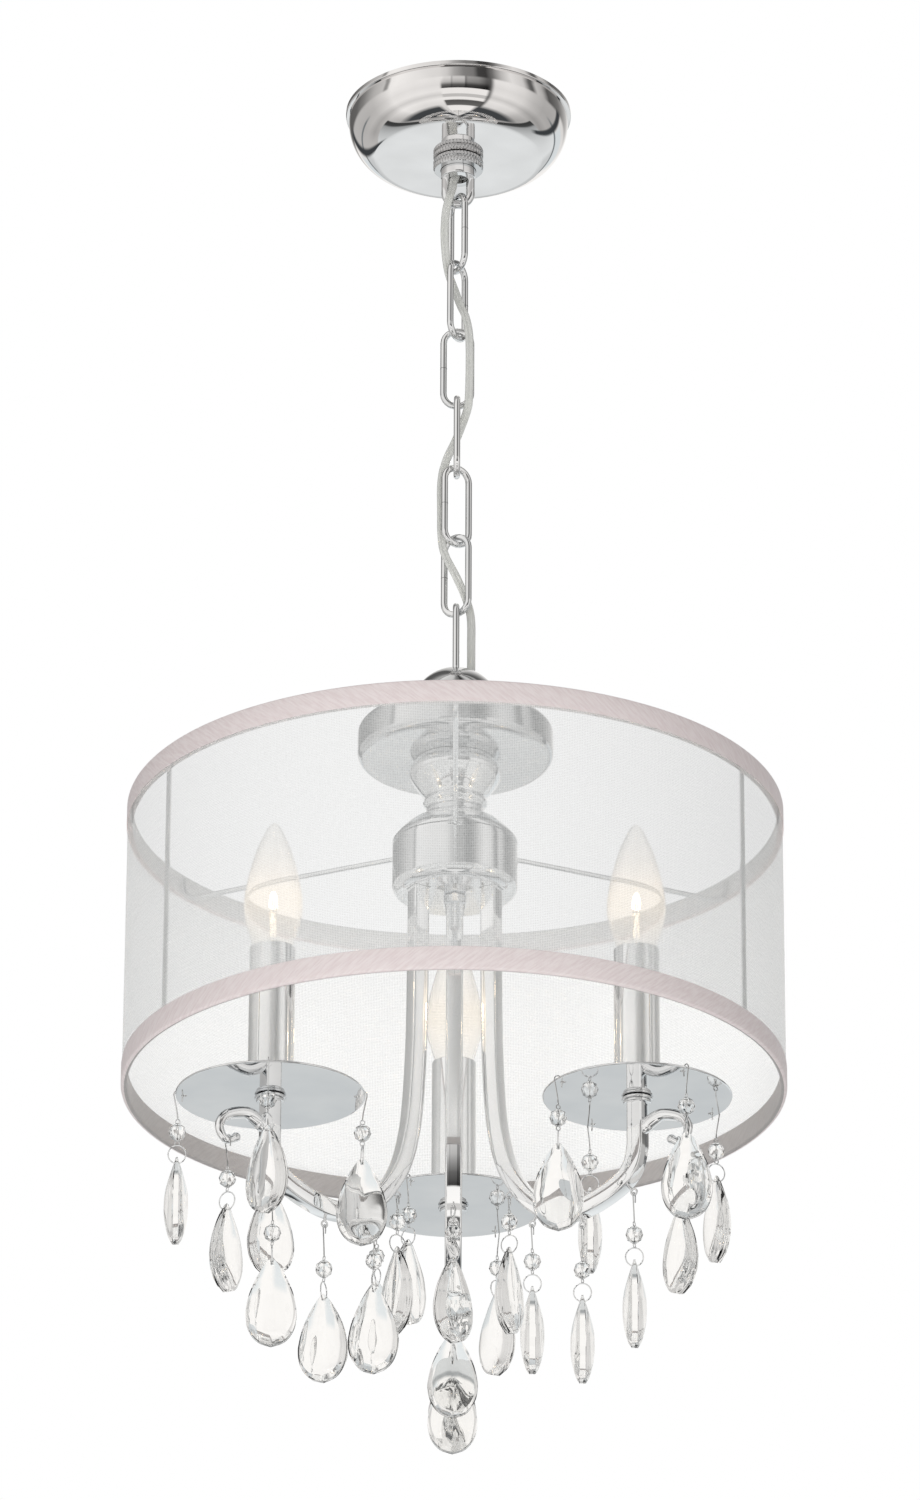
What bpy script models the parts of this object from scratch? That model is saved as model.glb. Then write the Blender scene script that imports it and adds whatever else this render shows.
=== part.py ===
"""Drum chandelier: a sheer drum shade round three candle arms hung with glass drops, on a chain.

Metres, +Z up. The origin is the centre of the canopy's rim, on the ceiling, and everything hangs
below it. The arms stand at azimuths 210 (left), 330 (right) and 90 (back) degrees.
"""

import math

import bmesh
import bpy
from mathutils import Matrix, Vector

# Clearance between pieces that touch, and how far a cutter runs past the wall it cuts
GAP = 0.0003
OVERRUN = 0.001
# How deep one shape sinks into the next where they are one piece
SINK = 0.0006
# Points nearer than this are one point, and edges bent more than this stay sharp
WELD = 0.000001
TURN_WELD = 0.00001
SHARP_ANGLE = math.radians(32)
RANK_DIGITS = 4

# Facets round each kind of piece
DRUM_STEPS = 36
BOWL_STEPS = 24
CAP_STEPS = 20
BORE_STEPS = 12
WIRE_SIDES_RESOLUTION = 1
LINK_BEND_STEPS = 6

# Crossbar that the ceiling box carries, with its threaded stem
CROSSBAR_WIDTH = 0.022
CROSSBAR_THICKNESS = 0.0025
CROSSBAR_BEYOND_SLOT = 0.005
SCREW_SLOT_SPACING = 0.083
SCREW_SLOT_LENGTH = 0.012
SCREW_SLOT_WIDTH = 0.0048
STEM_DIAMETER = 0.0098
STEM_BORE = 0.0066
STEM_SHORT_OF_COLLAR = 0.0035

# Canopy, a spun cup against the ceiling
CANOPY_DIAMETER = 0.127
CANOPY_HEIGHT = 0.0294
CANOPY_WALL = 0.001
CANOPY_LIP = 0.0022
CANOPY_STEP = 0.0017
CANOPY_FLAT_DIAMETER = 0.0934
CANOPY_BELLY_ANGLE = math.radians(72)
CANOPY_BELLY_STEPS = 5

# Collar: the looped bush on the stem and the knurled ring on the bush
COLLAR_DIAMETER = 0.0196
COLLAR_ABOVE_CANOPY = 0.0094
COLLAR_BELOW_RING = 0.0053
RING_DIAMETER = 0.0285
RING_HEIGHT = 0.0065
RING_KNURLS = 18
RING_KNURL_DEPTH = 0.0006
RING_KNURL_SHARE = 0.25
RING_CHAMFER = 0.0008
LOOP_WIRE = 0.005
LOOP_SPAN = 0.0138
LOOP_LEG = 0.0091
LOOP_AZIMUTH = math.radians(182)
LOOP_STEPS = 8

# Chain link, and the turn of each link about the vertical; the last is the loop on the centre rod
LINK_LENGTH = 0.0502
LINK_GAP = 0.0005
LINK_WIDTH = 0.019
LINK_WIRE = 0.0037
LINK_AZIMUTHS = [math.radians(a) for a in (120, 58, 0, 90, 30, 150, 90)]

# Supply cord woven through the chain, from the stem to the cap
CORD_DIAMETER = 0.0034
CORD_STEPS = 2
CORD_POINTS = [
    (0.0, 0.0, -0.001),
    (0.0, 0.0, -0.015),
    (-0.0004, -0.0001, -0.030),
    (-0.0012, -0.0006, -0.039),
    (-0.0025, -0.0018, -0.0435),
    (-0.0031, -0.0040, -0.049),
    (-0.0048, -0.0062, -0.056),
    (-0.0069, -0.0056, -0.066),
    (-0.0074, -0.0044, -0.082),
    (-0.0055, -0.0022, -0.100),
    (-0.0015, -0.0003, -0.112),
    (0.0018, -0.0010, -0.122),
    (0.0046, -0.0032, -0.130),
    (0.0065, -0.0050, -0.142),
    (0.0069, -0.0053, -0.160),
    (0.0065, -0.0046, -0.180),
    (0.0054, -0.0028, -0.188),
    (0.0, 0.0, -0.203),
    (-0.0060, 0.0010, -0.217),
    (-0.0085, 0.0011, -0.230),
    (-0.0085, 0.0005, -0.250),
    (-0.0083, -0.0001, -0.262),
    (-0.0066, -0.0004, -0.274),
    (0.0, 0.0, -0.288),
    (0.0055, 0.0016, -0.301),
    (0.0081, 0.0012, -0.313),
    (0.0083, 0.0010, -0.330),
    (0.0083, 0.0010, -0.347),
    (0.0080, 0.0010, -0.362),
    (0.0075, 0.0010, -0.374),
]

# Centre rod below the last loop, with the nut that clamps the stack
ROD_DIAMETER = 0.0064
ROD_BELOW_HUB = 0.0193
NUT_ACROSS_FLATS = 0.012
NUT_HEIGHT = 0.0057
NUT_SIDES = 6
ROD_HOLE = 0.0074

# Top cap: a dome on a shallow cup
CAP_WALL = 0.0012
LOOP_INSIDE_CAP = 0.0103
DOME_RADIUS = 0.025
CAP_COVE_HEIGHT = 0.0065
CAP_COVE_WIDTH = 0.005
CAP_COVE_SHARES = (0.33, 0.5)
CUP_DIAMETER = 0.1065
CUP_SHOULDER_DROP = 0.002
CUP_SHOULDER = 0.005
CUP_HEIGHT = 0.021
SLOT_CLEARANCE = 0.0012
CORD_HOLE = 0.0058
DOME_STEPS = 4
CORNER_STEPS = 2

# Neck spool between the cup and the hub, as shares of its height and of the hub's radius
SPOOL_HEIGHT = 0.0483
SPOOL_WALL = 0.0013
SPOOL_SHARES = [
    (0.0, 0.649),
    (0.097, 0.737),
    (0.201, 0.723),
    (0.346, 0.590),
    (0.449, 0.478),
    (0.511, 0.516),
    (0.573, 0.457),
    (0.636, 0.487),
    (0.708, 0.590),
    (0.791, 0.767),
    (0.895, 0.914),
    (0.975, 1.0),
    (1.0, 1.0),
]

# Hub, the cup that the arms stand in
HUB_DIAMETER = 0.0678
HUB_HEIGHT = 0.0281
HUB_WALL = 0.0013
HUB_ROUNDING = 0.006

# Shade: spider and rings of wire, the sheer wall and two silk trims
SPIDER_HUB_THICKNESS = 0.0014
SPIDER_HUB_INSET = 0.0007
SPIDER_TAB_WIDTH = 0.008
SPIDER_TAB_REACH = 0.0021
SPIDER_WIRE = 0.0028
SPIDER_RISE_SHARES = [(0.0, 0.0), (0.25, 0.06), (0.6, 0.13), (0.9, 0.18), (0.965, 0.24), (0.99, 0.40)]
SHADE_DIAMETER = 0.3556
SHADE_HEIGHT = 0.1624
SHADE_RISE = 0.0198
TRIM_HEIGHT = 0.0125
TRIM_THICKNESS = 0.0004
TRIM_WIDTH = 0.0036
RISER_NOTCH_DEPTH = 0.0016
SHADE_RING_WIRE = 0.0022
SHADE_FABRIC_THICKNESS = 0.0004
STRUT_WIDTH = 0.0045
STRUT_THICKNESS = 0.0007

# Arms: square tube swept down and out from the hub, then up to the candle
ARM_AZIMUTHS = {"left": math.radians(210), "right": math.radians(330), "back": math.radians(90)}
ARM_TUBE = 0.0092
ARM_IN_HUB = 0.0157
ARM_FOOT_RADIUS = 0.0225
ARM_REACH = 0.1113
ARM_DROP = 0.2095
DISC_DROP = 0.1372
ARM_STEPS = 2
ARM_SHARES = [
    (0.0, 0.0),
    (0.003, 0.301),
    (0.011, 0.516),
    (0.034, 0.683),
    (0.068, 0.778),
    (0.118, 0.850),
    (0.186, 0.902),
    (0.287, 0.955),
    (0.422, 0.993),
    (0.591, 1.0),
    (0.760, 0.979),
    (0.906, 0.945),
    (0.974, 0.907),
    (1.0, 0.859),
]

# Scroll beyond each arm's end, as shares of its reach, with its thickness as a share of its root's
SCROLL_REACH = 0.030
SCROLL_ROOT = 0.0074
SCROLL_SHARES = [
    (0.0, -0.60, 1.0),
    (0.157, -0.57, 1.0),
    (0.233, -0.51, 1.0),
    (0.453, -0.41, 0.95),
    (0.683, -0.437, 0.88),
    (0.903, -0.543, 0.78),
    (1.0, -0.723, 0.68),
    (0.953, -0.897, 0.60),
    (0.827, -0.98, 0.56),
    (0.670, -0.893, 0.60),
]
SCROLL_HOOK_SHARE = (0.827, -0.98, 0.56)

# Eyelets under each arm, as shares of the arm's reach and drop
EYELET_DIAMETER = 0.0044
EYELET_WIRE = 0.0011
EYELET_STEM = 0.0017
EYELET_STEPS = 6
EYELET_SHARES = {
    "inner_high": (0.130, 0.924),
    "inner": (0.287, 1.012),
    "middle": (0.625, 1.041),
    "outer": (0.974, 0.979),
}
BACK_INNER_HIGH_SHARE = (0.062, 0.8735)

# Drip disc and candle on each arm
COLLAR_PAD_DIAMETER = 0.0168
COLLAR_PAD_HEIGHT = 0.0033
NIPPLE_IN_PAD = 0.0011
NIPPLE_DIAMETER = 0.0094
NIPPLE_HOLE = 0.0102
NIPPLE_ABOVE_DISC = 0.0132
DISC_DIAMETER = 0.100
DISC_THICKNESS = 0.0012
DISC_STEPS = 32
DISC_HOLE = 0.0032
DISC_WEB = 0.003
DISC_HOLES = 4
DISC_HOLE_STEPS = 8
SLEEVE_DIAMETER = 0.0245
SLEEVE_BORE = 0.0226
SLEEVE_HEIGHT = 0.0819
SLEEVE_STEPS = 20
HOLDER_DIAMETER = 0.0206
HOLDER_SHORT_OF_SLEEVE = 0.0045

# Flame bulb, as shares of its height above the holder and of its radius
BULB_DIAMETER = 0.032
BULB_HEIGHT = 0.077
BULB_BASE_DIAMETER = 0.012
BULB_BASE_LENGTH = 0.021
BULB_CONTACT = 0.0025
BULB_SHARES = [
    (1.0, 0.0),
    (0.987, 0.19),
    (0.942, 0.47),
    (0.831, 0.77),
    (0.675, 0.95),
    (0.519, 1.0),
    (0.364, 0.963),
    (0.182, 0.813),
    (0.065, 0.638),
    (0.015, 0.50),
]

# Crystal strand: hook, bead, ring and drop
HOOK_WIRE = 0.0009
HOOK_SHORT_LEG = 0.004
HOOK_STEPS = 4
BEAD_DIAMETER = 0.0094
BEAD_SIDES = 6
BEAD_RINGS = 4
DROP_RING_DIAMETER = 0.011
DROP_BELOW_BEAD = 0.0137
DROP_HEIGHT = 0.0485
DROP_WIDTH = 0.0266
DROP_DEPTH = 0.0128
DROP_SIDES = 8
DROP_SHARES = [(0.08, 0.26), (0.32, 0.68), (0.62, 1.0), (0.84, 0.78), (0.965, 0.34)]
HANG_FROM_DISC = 0.0212
HANG_FROM_SCROLL = 0.0215
HANG_FROM_EYELET = {
    "inner_high": 0.0134,
    "inner": 0.0193,
    "middle": 0.0233,
    "outer": 0.0221,
}
# Azimuth of each disc's holes, and of the broad side of each drop as its thread has settled
DISC_DROPS = {
    "left": [(0, 8), (90, 30), (180, 90), (270, 139)],
    "right": [(30, 109), (120, 90), (210, 0), (300, 172)],
    "back": [(60, 130), (150, 30), (240, 52)],
}
ARM_DROPS = {
    "left": {"inner_high": 120, "inner": 167, "middle": 161, "outer": 0, "scroll": 61},
    "right": {"inner_high": 66, "inner": 90, "middle": 90, "outer": 90, "scroll": 123},
    "back": {"inner_high": 45, "inner": 8, "middle": 0, "outer": 20, "scroll": 60},
}
FIRST_HOLE = {"left": 0, "right": 30, "back": 60}


# Length that leaves metal beyond each slot
crossbar_length = SCREW_SLOT_SPACING + SCREW_SLOT_LENGTH + 2 * CROSSBAR_BEYOND_SLOT

# Levels, worked out from the ceiling down
canopy_floor = -CANOPY_HEIGHT
ring_top = canopy_floor - GAP
ring_bottom = ring_top - RING_HEIGHT
collar_top = canopy_floor + COLLAR_ABOVE_CANOPY
collar_bottom = ring_bottom - COLLAR_BELOW_RING
stem_bottom = collar_bottom + STEM_SHORT_OF_COLLAR
loop_bend = collar_bottom - LOOP_LEG
loop_bar = loop_bend - LOOP_SPAN / 2
link_inside = LINK_LENGTH - LINK_WIRE
link_pitch = link_inside - LINK_WIRE - LINK_GAP
first_link_wire = loop_bar + LOOP_WIRE / 2 + LINK_GAP + LINK_WIRE / 2
last_link_wire = first_link_wire - (len(LINK_AZIMUTHS) - 1) * link_pitch
last_link_bottom = last_link_wire - link_inside - LINK_WIRE / 2
cap_top = last_link_bottom + LOOP_INSIDE_CAP
dome_foot = cap_top - DOME_RADIUS
cup_top = dome_foot - CAP_COVE_HEIGHT
cup_floor = cup_top - CUP_SHOULDER_DROP - CUP_HEIGHT
spool_top = cup_floor - GAP
spool_bottom = spool_top - SPOOL_HEIGHT
spider_top = spool_bottom - GAP
spider_level = spider_top - SPIDER_HUB_THICKNESS / 2
hub_top = spider_top - SPIDER_HUB_THICKNESS - GAP
hub_floor = hub_top - HUB_HEIGHT
arm_top = hub_floor + ARM_IN_HUB
disc_floor = hub_floor - DISC_DROP
disc_top = disc_floor + DISC_THICKNESS
pad_top = disc_floor - GAP
sleeve_foot = disc_top + GAP
sleeve_top = sleeve_foot + SLEEVE_HEIGHT
holder_top = sleeve_top - HOLDER_SHORT_OF_SLEEVE
nipple_top = disc_top + NIPPLE_ABOVE_DISC
shade_top = spider_level + SHADE_RISE
shade_bottom = shade_top - SHADE_HEIGHT

# Radii that several pieces of the shade share
facet_share = math.cos(math.pi / DRUM_STEPS)
shade_radius = SHADE_DIAMETER / 2
trim_inner_radius = shade_radius - TRIM_WIDTH
shade_ring_radius = shade_radius - TRIM_THICKNESS - GAP - SHADE_RING_WIRE / 2
top_ring_level = shade_top - TRIM_THICKNESS - GAP - SHADE_RING_WIRE / 2
bottom_ring_level = shade_bottom + TRIM_THICKNESS + GAP + SHADE_RING_WIRE / 2
riser_radius = (trim_inner_radius + TRIM_THICKNESS / 2) * facet_share


def clear_scene():
    for item in list(bpy.data.objects):
        bpy.data.objects.remove(item, do_unlink=True)


clear_scene()
parts = bpy.data.collections.new("drum_chandelier")
cutters = bpy.data.collections.new("cutters")
bpy.context.scene.collection.children.link(parts)
bpy.context.scene.collection.children.link(cutters)


def make_material(name, colour, roughness, metallic=0.0, transmission=0.0, ior=1.45):
    material = bpy.data.materials.new(name)
    material.use_nodes = True
    shader = material.node_tree.nodes["Principled BSDF"]
    shader.inputs["Base Color"].default_value = (*colour, 1.0)
    shader.inputs["Roughness"].default_value = roughness
    shader.inputs["Metallic"].default_value = metallic
    shader.inputs["Transmission Weight"].default_value = transmission
    shader.inputs["IOR"].default_value = ior
    material.diffuse_color = (*colour, 1.0)
    return material


def chrome(name):
    return make_material(name, (0.82, 0.83, 0.85), 0.06, metallic=1.0)


def zinc(name):
    return make_material(name, (0.62, 0.63, 0.64), 0.35, metallic=1.0)


def crystal(name):
    return make_material(name, (1.0, 1.0, 1.0), 0.02, transmission=1.0, ior=1.56)


def bulb_glass(name):
    return make_material(name, (1.0, 0.98, 0.95), 0.02, transmission=1.0)


def organza(name):
    return make_material(name, (0.90, 0.89, 0.89), 0.6, transmission=0.4)


def silk(name):
    return make_material(name, (0.78, 0.73, 0.74), 0.5)


def holder_white(name):
    return make_material(name, (0.93, 0.92, 0.89), 0.35)


def cord_vinyl(name):
    return make_material(name, (0.75, 0.76, 0.77), 0.25, transmission=0.3)


def add_object(name, data, collection=parts):
    item = bpy.data.objects.new(name, data)
    collection.objects.link(item)
    return item


def dress(item, make_finish):
    """Gives the piece a material of its own and smooth shading across its round faces."""
    if item.type == "MESH" and item.data.polygons:
        item.data.shade_smooth()
        item.data.set_sharp_from_angle(angle=SHARP_ANGLE)
    item.data.materials.clear()
    item.data.materials.append(make_finish(item.name))
    return item


def mesh_from(item):
    """The evaluated shape as a mesh, with loose caps welded."""
    bpy.context.view_layer.update()
    graph = bpy.context.evaluated_depsgraph_get()
    mesh = bpy.data.meshes.new_from_object(item.evaluated_get(graph))
    shape = bmesh.new()
    shape.from_mesh(mesh)
    bmesh.ops.remove_doubles(shape, verts=shape.verts, dist=WELD)
    bmesh.ops.recalc_face_normals(shape, faces=shape.faces)
    shape.to_mesh(mesh)
    shape.free()
    return mesh


def made_mesh(item):
    """Replaces a curve, or a mesh with modifiers, by a plain mesh object in the same place."""
    name, place = item.name, item.matrix_world.copy()
    mesh = mesh_from(item)
    bpy.data.objects.remove(item, do_unlink=True)
    solid = add_object(name, mesh)
    solid.matrix_world = place
    return solid


def turned(name, profile, steps, closed=False, phase=0.0):
    """A profile of (radius, height) points turned about Z by a Screw modifier."""
    mesh = bpy.data.meshes.new(name)
    points = [(radius, 0.0, height) for radius, height in profile]
    edges = [(i, i + 1) for i in range(len(points) - 1)]
    if closed:
        edges.append((len(points) - 1, 0))
    mesh.from_pydata(points, edges, [])
    item = add_object(name, mesh)
    item.rotation_euler.z = phase
    screw = item.modifiers.new("turn", "SCREW")
    screw.steps = steps
    screw.render_steps = steps
    screw.use_merge_vertices = True
    screw.merge_threshold = TURN_WELD
    screw.use_normal_calculate = False
    return item


def thicken(item, wall):
    shell = item.modifiers.new("wall", "SOLIDIFY")
    shell.thickness = wall
    shell.offset = -1.0
    shell.use_even_offset = True
    return item


def cylinder(name, diameter, top, bottom, steps=BORE_STEPS, phase=0.0, collection=parts):
    """An upright cylinder between two levels."""
    shape = bmesh.new()
    bmesh.ops.create_cone(
        shape,
        cap_ends=True,
        segments=steps,
        radius1=diameter / 2,
        radius2=diameter / 2,
        depth=top - bottom,
    )
    bmesh.ops.rotate(shape, verts=shape.verts, matrix=Matrix.Rotation(phase, 3, "Z"))
    bmesh.ops.translate(shape, verts=shape.verts, vec=(0, 0, (top + bottom) / 2))
    mesh = bpy.data.meshes.new(name)
    shape.to_mesh(mesh)
    shape.free()
    return add_object(name, mesh, collection)


def box(name, size, centre, collection=parts):
    shape = bmesh.new()
    bmesh.ops.create_cube(shape, size=1.0)
    bmesh.ops.scale(shape, verts=shape.verts, vec=size)
    bmesh.ops.translate(shape, verts=shape.verts, vec=centre)
    mesh = bpy.data.meshes.new(name)
    shape.to_mesh(mesh)
    shape.free()
    return add_object(name, mesh, collection)


def smooth_path(points, steps):
    """Points on the smooth curve that runs through the given ones."""
    ends = [Vector(p) for p in (points[0], *points, points[-1])]
    path = []
    for i in range(len(points) - 1):
        a, b, c, d = ends[i : i + 4]
        for step in range(steps):
            t = step / steps
            bend = (2 * a - 5 * b + 4 * c - d) * t**2 + (3 * b - a - 3 * c + d) * t**3
            path.append((2 * b + (c - a) * t + bend) / 2)
    path.append(ends[-1])
    return path


def arc(centre, radius, start, end, steps):
    """Points (x, z) on an arc, from one angle to another."""
    return [
        (
            centre[0] + radius * math.cos(start + (end - start) * i / steps),
            centre[1] + radius * math.sin(start + (end - start) * i / steps),
        )
        for i in range(steps + 1)
    ]


def ring_points(centre, radius, steps):
    """Points (x, z) whose straight sides touch the circle, with a level side at the bottom."""
    start = math.pi / steps - math.pi / 2
    corner = radius / math.cos(math.pi / steps)
    return arc(centre, corner, start, start + math.tau, steps)[:-1]


def wire(name, points, diameter, thickness_shares=None, cyclic=False, resolution=WIRE_SIDES_RESOLUTION):
    """A round wire along points, capped unless it closes on itself."""
    curve = bpy.data.curves.new(name, "CURVE")
    curve.dimensions = "3D"
    curve.bevel_depth = diameter / 2
    curve.bevel_resolution = resolution
    curve.use_fill_caps = not cyclic
    spline = curve.splines.new("POLY")
    spline.points.add(len(points) - 1)
    spline.use_cyclic_u = cyclic
    for i, point in enumerate(points):
        spline.points[i].co = (*point, 1.0)
        if thickness_shares:
            spline.points[i].radius = thickness_shares[i]
    return add_object(name, curve)


def in_plane(points):
    """Points (x, z) as points in space, in the plane of X and Z."""
    return [(x, 0.0, z) for x, z in points]


def fuse(item, others):
    """Joins the other shapes to the item as one solid."""
    for other in others:
        join = item.modifiers.new("join " + other.name, "BOOLEAN")
        join.operation = "UNION"
        join.solver = "EXACT"
        join.object = other
    solid = made_mesh(item)
    for other in others:
        bpy.data.objects.remove(other, do_unlink=True)
    return solid


def cut(item, tools):
    """Cuts the tools from the item, and keeps them as hidden helpers."""
    for tool in tools:
        if tool.name not in cutters.objects:
            for home in list(tool.users_collection):
                home.objects.unlink(tool)
            cutters.objects.link(tool)
        tool.hide_render = True
        tool.display_type = "WIRE"
        remove = item.modifiers.new("cut " + tool.name, "BOOLEAN")
        remove.operation = "DIFFERENCE"
        remove.solver = "EXACT"
        remove.object = tool
    return item


def place(item, point, azimuth=0.0):
    item.location = point
    item.rotation_euler.z = azimuth
    return item


def shift_mesh(item, offset):
    """Moves the shape against its origin, which stays on the joint's axis."""
    item.data.transform(Matrix.Translation(offset))
    return item


def around(radius, azimuth, level):
    return Vector((radius * math.cos(azimuth), radius * math.sin(azimuth), level))


def hang_on(child, parent):
    """Parents the child and leaves it where it stands."""
    bpy.context.view_layer.update()
    child.parent = parent
    child.matrix_parent_inverse = parent.matrix_world.inverted()
    return child


def empty(name, point):
    return place(add_object(name, None), point)


def crossbar():
    """Steel strap across the ceiling box, with slots for its screws and the stem that carries all."""
    strap = box(
        "crossbar",
        (crossbar_length, CROSSBAR_WIDTH, CROSSBAR_THICKNESS),
        (0, 0, -CROSSBAR_THICKNESS / 2),
    )
    stem = cylinder("stem", STEM_DIAMETER, -CROSSBAR_THICKNESS / 2, stem_bottom)
    strap = fuse(strap, [stem])
    bore = cylinder("stem_bore", STEM_BORE, OVERRUN, stem_bottom - OVERRUN)
    depth = CROSSBAR_THICKNESS + 2 * OVERRUN
    slots = [
        box(
            "screw_slot_" + side,
            (SCREW_SLOT_LENGTH, SCREW_SLOT_WIDTH, depth),
            (way * SCREW_SLOT_SPACING / 2, 0, -CROSSBAR_THICKNESS / 2),
        )
        for side, way in (("left", -1), ("right", 1))
    ]
    return dress(cut(strap, [bore, *slots]), zinc)


def canopy():
    """Spun cup: a lip, a small step, a round belly and a flat floor with the collar's hole."""
    rim = CANOPY_DIAMETER / 2
    step_radius = rim - CANOPY_STEP
    flat = CANOPY_FLAT_DIAMETER / 2
    step_level = -CANOPY_LIP - CANOPY_STEP
    belly_top = step_level - CANOPY_STEP
    last_cosine = math.cos(CANOPY_BELLY_ANGLE)
    belly = []
    for i in range(CANOPY_BELLY_STEPS + 1):
        turn = CANOPY_BELLY_ANGLE * i / CANOPY_BELLY_STEPS
        across = (math.cos(turn) - last_cosine) / (1 - last_cosine)
        down = math.sin(turn) / math.sin(CANOPY_BELLY_ANGLE)
        radius = flat + (step_radius - flat) * across
        belly.append((radius, belly_top + (canopy_floor - belly_top) * down))
    profile = [
        (rim, 0.0),
        (rim, -CANOPY_LIP),
        (step_radius, step_level),
        *belly,
        (COLLAR_DIAMETER / 2 + 2 * GAP, canopy_floor),
    ]
    cup = thicken(turned("canopy", profile, BOWL_STEPS), CANOPY_WALL)
    return dress(cup, chrome)


def collar_loop():
    """Bush that screws on the stem, with the loop that the chain hangs from, as one casting."""
    bush = cylinder("collar_loop", COLLAR_DIAMETER, collar_top, collar_bottom, CAP_STEPS)
    bend = arc((0, loop_bend), LOOP_SPAN / 2, 0, -math.pi, LOOP_STEPS)
    leg_top = collar_bottom + LOOP_WIRE / 2
    points = [(LOOP_SPAN / 2, leg_top), *bend, (-LOOP_SPAN / 2, leg_top)]
    loop = wire("loop", in_plane(points), LOOP_WIRE, resolution=WIRE_SIDES_RESOLUTION + 1)
    body = fuse(bush, [made_mesh(loop)])
    hole = cylinder("collar_bore", STEM_DIAMETER + 2 * GAP, collar_top + OVERRUN, collar_bottom - OVERRUN)
    return dress(place(cut(body, [hole]), (0, 0, 0), LOOP_AZIMUTH), chrome)


def collar_ring():
    """Knurled ring that holds the canopy up."""
    root = RING_DIAMETER / 2 - RING_KNURL_DEPTH
    half = RING_HEIGHT / 2
    bore = COLLAR_DIAMETER / 2 + GAP
    profile = [
        (bore, half),
        (root - RING_CHAMFER, half),
        (root, half - RING_CHAMFER),
        (root, RING_CHAMFER - half),
        (root - RING_CHAMFER, -half),
        (bore, -half),
    ]
    ring = turned("collar_ring", profile, 2 * RING_KNURLS, closed=True)
    ring = made_mesh(ring)
    for point in ring.data.vertices:
        turn = math.atan2(point.co.y, point.co.x) * RING_KNURLS / math.tau
        outside = math.hypot(point.co.x, point.co.y) > root - RING_KNURL_DEPTH / 2
        if outside and abs(turn - round(turn)) < RING_KNURL_SHARE:
            point.co.x *= RING_DIAMETER / 2 / root
            point.co.y *= RING_DIAMETER / 2 / root
    return dress(place(ring, (0, 0, ring_top - half)), chrome)


def link_points():
    """Centre line of a link round its upper wire's centre, which is the origin."""
    bend = (LINK_WIDTH - LINK_WIRE) / 2
    lower = bend - link_inside
    upper_arc = arc((0, -bend), bend, 0, math.pi, LINK_BEND_STEPS)
    lower_arc = arc((0, lower), bend, math.pi, math.tau, LINK_BEND_STEPS)
    return upper_arc + lower_arc


def chain_link(index, azimuth, hinge_level):
    """One link, whose origin is on the wire above it that it swings about."""
    wire_level = first_link_wire - index * link_pitch
    offset = wire_level - hinge_level
    points = [(x, z + offset) for x, z in link_points()]
    link = wire(
        f"chain_link_{index + 1}",
        in_plane(points),
        LINK_WIRE,
        cyclic=True,
        resolution=WIRE_SIDES_RESOLUTION + 1,
    )
    return dress(place(link, (0, 0, hinge_level), azimuth), chrome)


def hinge_level(index):
    """Level of the wire that this link swings about."""
    if index == 0:
        return loop_bar
    return first_link_wire - (index - 1) * link_pitch - link_inside


def supply_cord():
    cord = wire("supply_cord", smooth_path(CORD_POINTS, CORD_STEPS), CORD_DIAMETER)
    return dress(cord, cord_vinyl)


def loop_rod():
    """Last loop of the chain, welded to the rod that clamps cap, spool, spider and hub together."""
    last = len(LINK_AZIMUTHS) - 1
    pivot = hinge_level(last)
    offset = last_link_wire - pivot
    points = [(x, z + offset) for x, z in link_points()]
    loop = wire("loop_rod", in_plane(points), LINK_WIRE, cyclic=True, resolution=WIRE_SIDES_RESOLUTION + 1)
    loop = made_mesh(loop)
    rod_top = last_link_bottom - pivot + LINK_WIRE / 2
    rod_bottom = hub_floor - ROD_BELOW_HUB - pivot
    nut_top = hub_floor - GAP - pivot
    nut_diameter = NUT_ACROSS_FLATS / math.cos(math.pi / NUT_SIDES)
    rod = cylinder("rod", ROD_DIAMETER, rod_top, rod_bottom)
    nut = cylinder("nut", nut_diameter, nut_top, nut_top - NUT_HEIGHT, NUT_SIDES)
    piece = fuse(loop, [rod, nut])
    return dress(place(piece, (0, 0, pivot), LINK_AZIMUTHS[last]), chrome)


def top_cap():
    """Dome and cup in one shell, slotted for the loop and drilled for the cord and the rod."""
    cup_radius = CUP_DIAMETER / 2
    dome = arc((0, dome_foot), DOME_RADIUS, math.pi / 2, 0, DOME_STEPS)
    shoulder = arc(
        (cup_radius - CUP_SHOULDER, cup_top - CUP_SHOULDER_DROP - CUP_SHOULDER),
        CUP_SHOULDER,
        math.pi / 2,
        0,
        CORNER_STEPS,
    )
    foot_centre = (cup_radius - CUP_SHOULDER, cup_floor + CUP_SHOULDER)
    cove_across, cove_down = CAP_COVE_SHARES
    foot = arc(foot_centre, CUP_SHOULDER, 0, -math.pi / 2, CORNER_STEPS)
    profile = [
        *dome,
        (DOME_RADIUS + cove_across * CAP_COVE_WIDTH, dome_foot - cove_down * CAP_COVE_HEIGHT),
        (DOME_RADIUS + CAP_COVE_WIDTH, cup_top),
        *shoulder,
        *foot,
        (ROD_HOLE / 2, cup_floor),
    ]
    shell = thicken(turned("top_cap", profile, CAP_STEPS), CAP_WALL)
    last = LINK_AZIMUTHS[-1]
    slot_size = (LINK_WIDTH + SLOT_CLEARANCE, LINK_WIRE + SLOT_CLEARANCE, DOME_RADIUS)
    slot = place(box("loop_slot", slot_size, (0, 0, 0)), (0, 0, cap_top), last)
    cord_exit = CORD_POINTS[-3]
    cord_hole = cylinder("cord_hole", CORD_HOLE, cap_top + OVERRUN, dome_foot)
    cord_hole.location = (cord_exit[0], cord_exit[1], 0)
    return dress(cut(shell, [slot, cord_hole]), chrome)


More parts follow.
